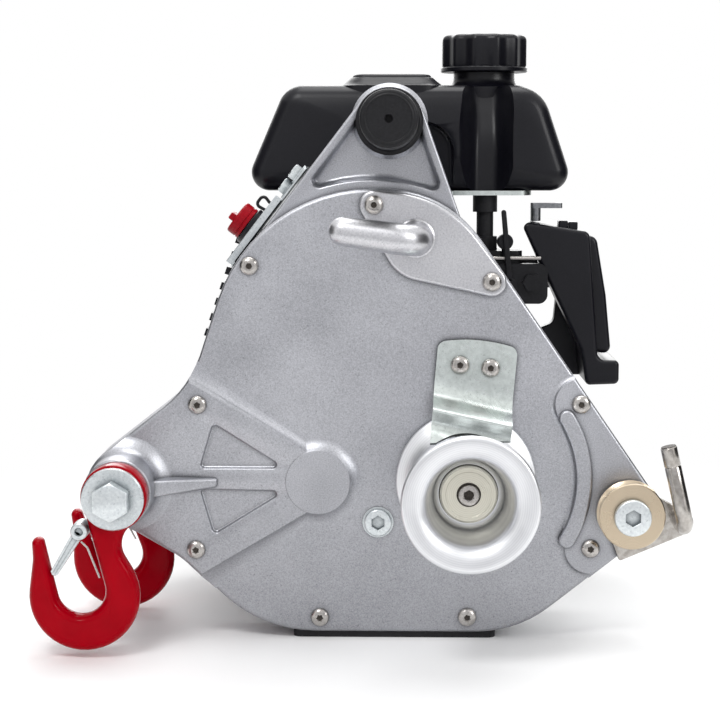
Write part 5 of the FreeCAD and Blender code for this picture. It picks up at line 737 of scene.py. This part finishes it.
hexagon = hexed(HEX_FLAT)
red_paint, tree, place = surface("red_paint", specular_ior_level=0.06)
peel = node(tree, "ShaderNodeTexNoise", {"Scale": 1 / 3.0, "Detail": 2.0}, {"Vector": place}).outputs[0]
worn = node(tree, "ShaderNodeTexNoise", {"Scale": 1 / 14.0, "Detail": 4.0}, {"Vector": place}).outputs[0]
skinned(red_paint, worn, "#AE0116", "#8E000F", worn, (0.12, 0.12), peel, 0.03)
for side, y, turn in (("front", FRONT_HOOK_Y, 0.0), ("rear", REAR_HOOK_Y, REAR_HOOK_TURN)):
    eye = turned((0, 0), [(8.2, -HOOK_HALF), (17.8, -HOOK_HALF)] + arc(17.8, -5.8, 1.2, -90, 0, 4)
                 + arc(17.8, 5.8, 1.2, 0, 90, 4) + [(8.2, HOOK_HALF)])
    forging = loft([forged_ring(math.sin(math.pi / 2 * k / 10)) for k in range(-10, 11)])
    wire = tube([Vector((x, WIRE_Y, z)) for x, z in WIRE], [0.6] * len(WIRE), 10)
    piece(side + "_hook_forging", [hung(mesh, y, turn) for mesh in (forging, eye)],
          red_paint, side + "_hook", [side + "_hook"])
    flare = [(2.0, -7.2), (2.6, -8.0), (4.4, -8.0), (4.8, -7.6)]
    rivet = turned(LATCH_PIN, flare + [(r, -h) for r, h in reversed(flare)], 40)
    leg = slab([(*LATCH_ROOT, 2.9), (*LATCH_TIP, 2.0)], rounded(-6.0, 6.0, 0.6, 0.6))
    edges = [slab([(LATCH_ROOT[0] + dx, LATCH_ROOT[1] + dz, 0.7),
                   (LATCH_TIP[0] + 0.7 * dx, LATCH_TIP[1] + 0.7 * dz, 0.7)],
                  rounded(-6.8, -5.0, 0.3, 0.1)) for dx, dz in ((1.9, -1.15), (-1.9, 1.15))]
    cheek = turned(LATCH_PIN, [(0, -6.0), (4.4, -6.0), (5.0, -5.4), (5.0, 5.4), (4.4, 6.0), (0, 6.0)], 40)
    piece(side + "_hook_latch", [hung(mesh, y, turn) for mesh in (leg, *edges, cheek, rivet)],
          zinc, side + "_latch", [side + "_latch"])
    piece(side + "_latch_wire", [hung(wire, y, turn)], stainless, side + "_hook")
hex_head = [(0, -73.8), (hexagon, -73.8), (hexagon, lambda a: fallen(a) - 83.8), (HEX_FACE, -83.8),
            (0, -83.8)]
shank = [(0, -74.0), (7.9, -74.0), (7.9, 69.0), (7.1, 69.8), (0, 69.8)]
piece("hook_axle", [turned(NOSE, hex_head), turned(NOSE, shank)],
      zinc, "frame", ["hook_bolt"])
nut = [(0, 52.8), (HEX_FACE, 52.8), (hexagon, lambda a: 52.8 + fallen(a)),
       (hexagon, lambda a: 65.8 - fallen(a)), (HEX_FACE, 65.8), (0, 65.8)]
washers = [turned(NOSE, [(0, y), (17.4, y), (18.0, y + 0.6), (18.0, y + 2.9), (17.4, y + 3.5),
                         (0, y + 3.5)]) for y in (-73.8, 49.3)]
piece("hook_washers", washers + [turned(NOSE, nut)], zinc, "frame", ["hook_fittings"])

# Engine block
# The crankcase, the finned cylinder and its head are die-cast aluminium left as cast, so darker than the
# case; the valve cover is pressed steel in satin black, and zinc screws join the engine to the clutch bell.
engine_aluminium = mottled("engine_aluminium", "#8B8D90", "#66686C", 1.3, (0.45, 0.6), 0.06)
black_metal = mottled("black_metal", "#17171B", "#0C0C0F", 1.6, (0.32, 0.46), 0.02, metallic=0.0, gloss=0.3)
coat(engine_aluminium, "crankcase", "cylinder_block", "cylinder_head", "flywheel")
coat(black_metal, "valve_cover", "muffler")
coat(zinc, "bell_bolts")
coat(stainless, "spark_plug")

# Fan cover and recoil starter
# Injection-moulded covers in satin black with a fine grain; the recoil dome has cooling slots all round,
# the starter grip rests in its upper edge, and four zinc-plated flange screws hold the fan cover.
black_plastic = mottled("black_plastic", "#131319", "#0A0A11", 0.7, (0.28, 0.38), 0.012,
                        metallic=0.0, gloss=0.3)
coat(black_plastic, "fan_cover", "recoil_cover", "starter_grip")
FAN_REAR = 205.0
BOLT_CIRCLE = 62.0
bolt_seats = [(CRANK[0] + BOLT_CIRCLE * math.cos(a), FAN_REAR, CRANK[1] + BOLT_CIRCLE * math.sin(a))
              for a in (math.radians(45 + 90 * k) for k in range(4))]
bolt = turned((0, 0), [(0, -0.1), (5.6, -0.1), (5.6, 0.9), (5.1, 1.4), (hexed(3.9), 1.6), (hexed(3.9), 5.2),
                       (3.5, 5.6), (0, 5.6)], 48)
piece("fan_cover_bolts", [instanced("fan_cover_bolts", bolt, bolt_seats, zinc, 11)],
      zinc, "frame")

# Fuel tank and cap
# A blow-moulded black tank with swelled walls, a raised middle and a valley that runs up its front to the
# filler neck, and a large screw cap with wide flutes for gloved hands.
TANK = [(-61.5, 318.0, 16.0), (-83.0, 278.0, 12.0), (99.5, 278.0, 12.0), (76.0, 310.0, 24.0)]
TANK_RECESS = [(16.0, 290.0, 20.0), (-12.0, 290.0, 20.0), (-26.0, 258.0, 4.0), (33.0, 258.0, 4.0)]
TANK_FRONT = 86.0
TANK_BACK = 204.0
TANK_EDGE = 11.4
TANK_SWELL = 4.0
VALLEY_HALF = 20.0
VALLEY = [(255.0, 16.0), (292.0, 16.0), (308.0, 20.0), (320.0, 28.0), (345.0, 44.0)]
FILLER = (58.3, 145.0)
CAP_R = 29.0
CAP_LOW = 344.0
CAP_TOP = 368.5
CAP_EDGE = 4.0


def raised(circles, profile, step=6.0):
    """A belt outline in X and Y raised along Z through a profile (inset, z)."""
    return loft([[(x, y, z) for x, y in belt(circles, inset, step)] for inset, z in profile])


def box_corners(x0, x1, y0, y1, r):
    """The four corner circles of a plate in X and Y."""
    return [(x0 + r, y0 + r, r), (x1 - r, y0 + r, r), (x1 - r, y1 - r, r), (x0 + r, y1 - r, r)]


def upright(mesh, x, y):
    """A mesh turned about the Y line through the origin, stood on the Z line through (x, y)."""
    mesh.transform(Matrix.Translation((x * MM, y * MM, 0.0)) @ Matrix.Rotation(math.pi / 2, 4, "X"))
    return mesh


def valley(half, stations, steps=24):
    """A cutter for an upright valley with a narrow floor in the tank's front, its depth by height."""
    rings = []
    for z, deep in stations:
        ring = [(FILLER[0] - half, TANK_FRONT - 9.0, z)]
        for k in range(steps + 1):
            u = 2 * k / steps - 1
            wall = min(1.0, (1 - abs(u)) / 0.75)
            ring.append((FILLER[0] + half * u, TANK_FRONT - 0.02 + deep * wall * wall * (3 - 2 * wall), z))
        rings.append(ring + [(FILLER[0] + half, TANK_FRONT - 9.0, z)])
    return loft(rings)


def pillow(circles, front, back, edge, swell):
    """A slab with rounded edges and walls that swell in the middle, as blow-moulded ones do."""
    centre = [sum(circle[k] for circle in circles) / len(circles) for k in (0, 1)]
    wall = belt(circles, 0.8 * edge, 5.0)
    side = arc(edge, front + swell + edge, edge, 255, 180) + arc(edge, back - swell - edge, edge, 180, 105)
    rings = [[(x, y, z) for x, z in belt(circles, inset, 5.0)] for inset, y in side]
    for k in range(7, 0, -1):
        s = k / 8
        drawn_in = [(centre[0] + (x - centre[0]) * s, centre[1] + (z - centre[1]) * s) for x, z in wall]
        rings.insert(0, [(x, front + swell * s * s, z) for x, z in drawn_in])
        rings.append([(x, back - swell * s * s, z) for x, z in drawn_in])
    return loft(rings)


def fluted(a):
    """Radius of the cap at an angle: twelve wide shallow flutes between narrow lands."""
    return CAP_R - 0.1 - 1.9 * (0.5 + 0.5 * math.cos(12 * a)) ** 0.8


hump_side = [(-8.0, 320.0), (-8.0, 333.9), (-6.0, 334.6), (-3.0, 336.8), (-0.6, 339.0)]
hump = raised(box_corners(-30.0, 23.0, 100.0, 190.0, 10.0), hump_side + arc(3.4, 338.4, 3.0, 160, 90, 5))
neck_rows = [(0, 300.0), (27.0, 300.0), (27.0, 333.9)] + arc(27.0, 340.4, 6.5, 270, 180)
neck_rows += [(20.5, 343.5), (19.5, 344.5), (0, 344.5)]
neck = upright(turned((0, 0), neck_rows), *FILLER)
recess_cut = slab(TANK_RECESS, [(-3.0, 80.0), (-3.0, 86.0)] + arc(-3.0, 89.0, 3.0, 270, 360, 4)
                  + arc(3.0, 91.0, 3.0, 180, 90, 4))
shell = pillow(TANK, TANK_FRONT, TANK_BACK, TANK_EDGE, TANK_SWELL)
tank = carved(shell, valley(VALLEY_HALF, VALLEY), recess_cut)
seam = slab(TANK, [(-0.02, 143.6), (-0.5, 144.2), (-0.5, 146.0), (-0.02, 146.6)], 5.0)
piece("tank_shell", [tank, hump, neck, seam], black_plastic, "frame", ["fuel_tank"], 40.0)
cap_rows = [(0, CAP_LOW), (CAP_R - 0.6, CAP_LOW), (CAP_R, CAP_LOW + 0.6), (CAP_R, CAP_LOW + 2.6),
            (CAP_R - 0.5, CAP_LOW + 3.2), (lambda a: fluted(a) - 0.3, CAP_LOW + 3.6),
            (fluted, CAP_LOW + 4.4), (fluted, CAP_TOP - CAP_EDGE)]
cap_rows += [(lambda a, t=t: fluted(a) - CAP_EDGE * (1 - math.cos(t)),
              CAP_TOP - CAP_EDGE * (1 - math.sin(t)))
             for t in (math.radians(15 * k) for k in range(1, 7))]
cap_rows += [(22.0, CAP_TOP), (21.4, CAP_TOP - 0.7), (20.0, CAP_TOP - 0.9), (0, CAP_TOP - 0.9)]
piece("filler_cap", [upright(turned((0, 0), cap_rows, 144), *FILLER)],
      black_plastic, "fuel_cap", ["fuel_cap"])

# Tank bracket, carburettor and levers
# A plated sheet bracket carries the tank over the engine. Below it stand the die-cast carburettor on its
# insulating flange, the rubber fuel hose, the pressed throttle and choke levers and the idle screw.
coat(yellow_zinc, "tank_bracket")
coat(gear_steel, "choke_lever")
coat(black_metal, "intake_flange", "carburettor")
THROTTLE = (73.5, 205.0)
IDLE = (70.3, 233.2)
lever_face = rounded(84.2, 86.7, 0.5, 0.5)
lever_eye = turned(THROTTLE, [(3.05, 84.2), (4.3, 84.2), (4.7, 84.6), (4.7, 86.3), (4.3, 86.7),
                              (3.05, 86.7)], 48)
piece("throttle_arm", [slab([(73.1, 209.0, 1.9), (69.0, 252.3, 1.6)], lever_face), lever_eye],
      black_metal, "throttle", ["throttle_lever"])
piece("idle_screw", [
    turned(IDLE, [(0, 87.6), (4.4, 87.6), (5.2, 88.4), (5.2, 94.0), (4.6, 94.6), (0, 94.6)], 36),
    tube([Vector((IDLE[0], 92.0, z)) for z in (222.0, 230.0)], [2.2, 2.2], 20),
], black_plastic, "frame")
piece("link_rod", [tube([Vector((x, 89.5, 222.4)) for x in (58.0, 93.5)], [1.4, 1.4], 20)],
      stainless, "frame")

# Air cleaner
# A moulded box beside the carburettor, narrower towards the rear, with a domed cover clipped to its
# outer side and a flat intake duct on its inner side.
CLEANER = [(86.0, 241.8, 3.5), (101.4, 156.0, -20.0), (127.5, 142.2, 3.5), (142.8, 142.8, 3.5),
           (142.8, 151.6, 3.5), (137.2, 160.3, -5.2), (121.1, 235.0, 5.0)]
CLEANER_COVER = [(126.0, 230.5, 6.0), (126.0, 164.0, 4.0), (136.8, 163.5, 4.5), (130.6, 196.0, 7.4)]
CLEANER_FRONT = 95.0
CLEANER_BACK = 183.0
CLEANER_TAPER = 12.0
DUCT = [(112.0, 214.0, 2.0), (101.0, 180.0, -6.0), (82.0, 164.0, 2.0), (82.0, 142.0, 2.0),
        (126.0, 142.0, 2.0), (126.0, 160.0, 2.0), (120.0, 214.0, 2.0)]
clips = [raised(box_corners(x, x + 6.0, 102.0, 114.0, 1.0), [(0.0, 236.0), (0.0, top - 0.6), (0.6, top)])
         for x, top in ((106.0, 246.4), (112.5, 245.6))]
box_rings = []
for inset, y in rounded(CLEANER_FRONT, CLEANER_BACK, 2.5, 2.5):
    taper = CLEANER_TAPER * (y - CLEANER_FRONT) / (CLEANER_BACK - CLEANER_FRONT)
    box_rings.append([(x + taper * min(1.0, max(0.0, (125.0 - x) / 30.0)), y, z)
                      for x, z in belt(CLEANER, inset)])
piece("cleaner_box", [loft(box_rings)] + clips,
      black_plastic, "frame", ["air_cleaner_case"])
piece("cleaner_duct", [slab(DUCT, rounded(140.0, 150.0, 1.2, 1.2))],
      black_plastic, "frame")
piece("cleaner_lid", [slab(CLEANER_COVER, rounded(103.0, 177.0, 3.0, 3.0))],
      black_plastic, "frame", ["air_cleaner_cover"])

# Muffler guard and engine switch
# A moulded grille keeps hands off the muffler; the rotary switch with its red knob sits on a bent sheet
# of zinc-plated steel, screwed to the flank of the arm, with a black wire clip on it.
FLANK_FOOT = (-21.17, 0.0, 321.98)
FLANK_TURN = math.radians(-52.52)
SWITCH = (-106.0, 70.0)
CLIP = [(-93.0, 3.0), (-89.5, 7.0), (-90.5, 14.0), (-82.5, 14.0), (-84.5, 7.0), (-79.0, 3.0)]
CLIP_Y = 36.0


def on_flank(mesh):
    """A mesh drawn on the X Y plane, set on the left flank of the arm."""
    mesh.transform(Matrix.Translation(Vector(FLANK_FOOT) * MM) @ Matrix.Rotation(FLANK_TURN, 4, "Y"))
    return mesh


coat(black_plastic, "muffler_guard")
sheet = raised(box_corners(-127.0, -52.0, 2.0, 85.0, 4.0), [(0.4, 1.2), (0.0, 1.5), (0.0, 2.2), (0.4, 2.5)])
lip = raised(box_corners(-126.0, -76.0, 2.0, 3.6, 0.6), [(0.0, 1.5), (0.0, 6.0), (0.3, 6.3)])
head_rows = [(0, 2.4), (7.0, 2.4), (7.0, 3.6), (hexed(4.6), 3.7), (hexed(4.6), 7.4), (3.9, 8.0), (0, 8.0)]
heads = [upright(turned((0, 0), head_rows, 72), x, y) for x, y in ((-58.5, 9.5), (-69.0, 13.0))]
clip_path = bent([(x, CLIP_Y, z) for x, z in CLIP], 2.4, 6)
piece("switch_plate", [on_flank(mesh) for mesh in (sheet, lip, *heads)],
      zinc, "frame", ["switch_bracket"])
piece("wire_clip", [on_flank(tube(clip_path, [1.0] * len(clip_path), 12))],
      black_metal, "frame")
case_rows = [(0, 2.5), (12.5, 2.5), (12.5, 4.6), (12.0, 5.0), (12.0, 8.2), (12.5, 8.6), (12.5, 11.0),
             (12.0, 11.5), (0, 11.5)]
piece("switch_case", [on_flank(upright(turned((0, 0), case_rows), *SWITCH))],
      black_plastic, "frame", ["switch_body"])
# The knob's plastic is satin where the paint of the hooks is glossy.
red_plastic = mottled("red_plastic", "#AC0A1E", "#920616", 1.2, (0.3, 0.42), 0.02, metallic=0.0, gloss=0.15)
knob_rows = [(0, 11.9), (10.7, 11.9), (11.0, 12.2), (11.0, 13.8), (10.5, 14.2), (10.5, 14.6), (11.0, 15.0),
             (11.0, 19.3)] + arc(9.6, 19.3, 1.4, 0, 90, 5) + [(0, 20.7)]
knob_bar = raised(box_corners(SWITCH[0] - 3.6, SWITCH[0] + 1.0, 60.5, 79.5, 0.9),
                  [(0.0, 18.0), (0.0, 23.6), (0.6, 24.2)])
piece("switch_cap", [on_flank(mesh) for mesh in (upright(turned((0, 0), knob_rows), *SWITCH), knob_bar)],
      red_plastic, "switch", ["switch_knob"])

# Floor, light and camera
# A white sweep that keeps the soft shadow under the object, a white surround and four soft boxes. A pale
# card behind the camera and a dark flag on each side, out of its sight, give the metal tones to show.
FLOOR_R = 700.0
FLOOR_Y = 120.0
CARD = [(-1500.0, -700.0), (1500.0, -700.0), (1500.0, 1200.0), (-1500.0, 1200.0)]
CARD_Y = -1500.0
FLAG = [(-300.0, 20.0), (700.0, 20.0), (700.0, 700.0), (-300.0, 700.0)]
FLAG_X = 800.0
AMBIENT = 0.6
LIGHTS = [
    ("key", (-0.5, -1.0, 1.6), 0.5, 10.0),
    ("fill", (1.2, -0.8, 0.8), 0.6, 6.0),
    ("top", (0.1, 0.3, 1.6), 0.9, 9.0),
    ("back", (0.0, 1.6, 0.9), 1.3, 17.0),
]
LIT = Vector((0.0, 0.0, 0.15))
EYE_AT = (0.0, -1.0617, 0.2923)


def matt(name, dark, light, grain, gloss=0.0):
    """A matt two-tone surface for what stands round the object."""
    made, tree, place = surface(name, roughness=0.9, specular_ior_level=gloss)
    weave = node(tree, "ShaderNodeTexNoise", {"Scale": 1 / grain}, {"Vector": place}).outputs[0]
    tone = node(tree, "ShaderNodeMix", {"data_type": "RGBA", 6: paint(dark), 7: paint(light)}, {0: weave})
    tree.links.new(tone.outputs[2], tree.nodes["Principled BSDF"].inputs["Base Color"])
    return made, tree, place


def staged(name, points, material, seen=False):
    """A flat sheet of that material as part of the stage."""
    mesh = shape(points, [list(range(len(points)))])
    mesh.materials.append(material)
    obj = placed(name, mesh)
    obj.visible_camera = seen
    return obj


white_floor, tree, place = matt("white_floor", "#FDFDFD", "#FFFFFF", 30.0, 0.5)
distance = node(tree, "ShaderNodeVectorMath", {"operation": "LENGTH"}, {0: place})
fade = node(tree, "ShaderNodeMapRange",
            {"interpolation_type": "SMOOTHSTEP", 1: 300.0, 2: 650.0, 3: 1.0, 4: 0.0},
            {0: distance.outputs["Value"]})
tree.links.new(fade.outputs[0], tree.nodes["Principled BSDF"].inputs["Alpha"])
floor_edge = [(x, y, 0.0) for x, y in arc(0.0, FLOOR_Y, FLOOR_R, 0, 360, 96)[:-1]]
floor = staged("floor", floor_edge, white_floor, True)
if floor.data.polygons[0].normal.z < 0:
    floor.data.flip_normals()
grey_card = matt("grey_card", "#E2E2E4", "#E8E8EA", 20.0)[0]
staged("grey_card", [(x, CARD_Y, z) for x, z in CARD], grey_card)
dark_flag = matt("dark_flag", "#303032", "#3A3A3C", 20.0)[0]
for name, x in (("left_flag", -FLAG_X), ("right_flag", FLAG_X)):
    staged(name, [(x, y, z) for y, z in FLAG], dark_flag)
world = bpy.data.worlds.new("white_surround")
bpy.context.scene.world = world
world.use_nodes = True
tree = world.node_tree
sky = tree.nodes["Background"]
sky.inputs["Color"].default_value = (1.0, 1.0, 1.0, 1.0)
ray = node(tree, "ShaderNodeLightPath").outputs
seen = ray["Is Camera Ray"]
for kind in ("Is Glossy Ray", "Is Transmission Ray"):
    seen = node(tree, "ShaderNodeMath", {"operation": "MAXIMUM"}, {0: seen, 1: ray[kind]}).outputs[0]
strength = node(tree, "ShaderNodeMapRange", {1: 0.0, 2: 1.0, 3: AMBIENT, 4: 1.0}, {0: seen})
tree.links.new(strength.outputs[0], sky.inputs["Strength"])
for name, at, size, power in LIGHTS:
    lamp = bpy.data.lights.new(name, "AREA")
    lamp.size = size
    lamp.energy = power
    holder = placed(name, lamp)
    holder.location = at
    holder.rotation_euler = (LIT - Vector(at)).to_track_quat("-Z", "Y").to_euler()
    holder.visible_camera = False
eye = bpy.data.cameras.new("eye")
eye.lens = 88.5
eye.sensor_width = 36.0
viewer = placed("eye", eye)
ahead = Vector((-0.02061, 0.99282, -0.11781))
above = Vector((-0.00244, 0.11778, 0.99303))
facing = Matrix((ahead.cross(above), above, -ahead)).transposed().to_4x4()
viewer.matrix_world = Matrix.Translation(EYE_AT) @ facing
bpy.context.scene.camera = viewer
bpy.context.scene.view_settings.view_transform = "Standard"
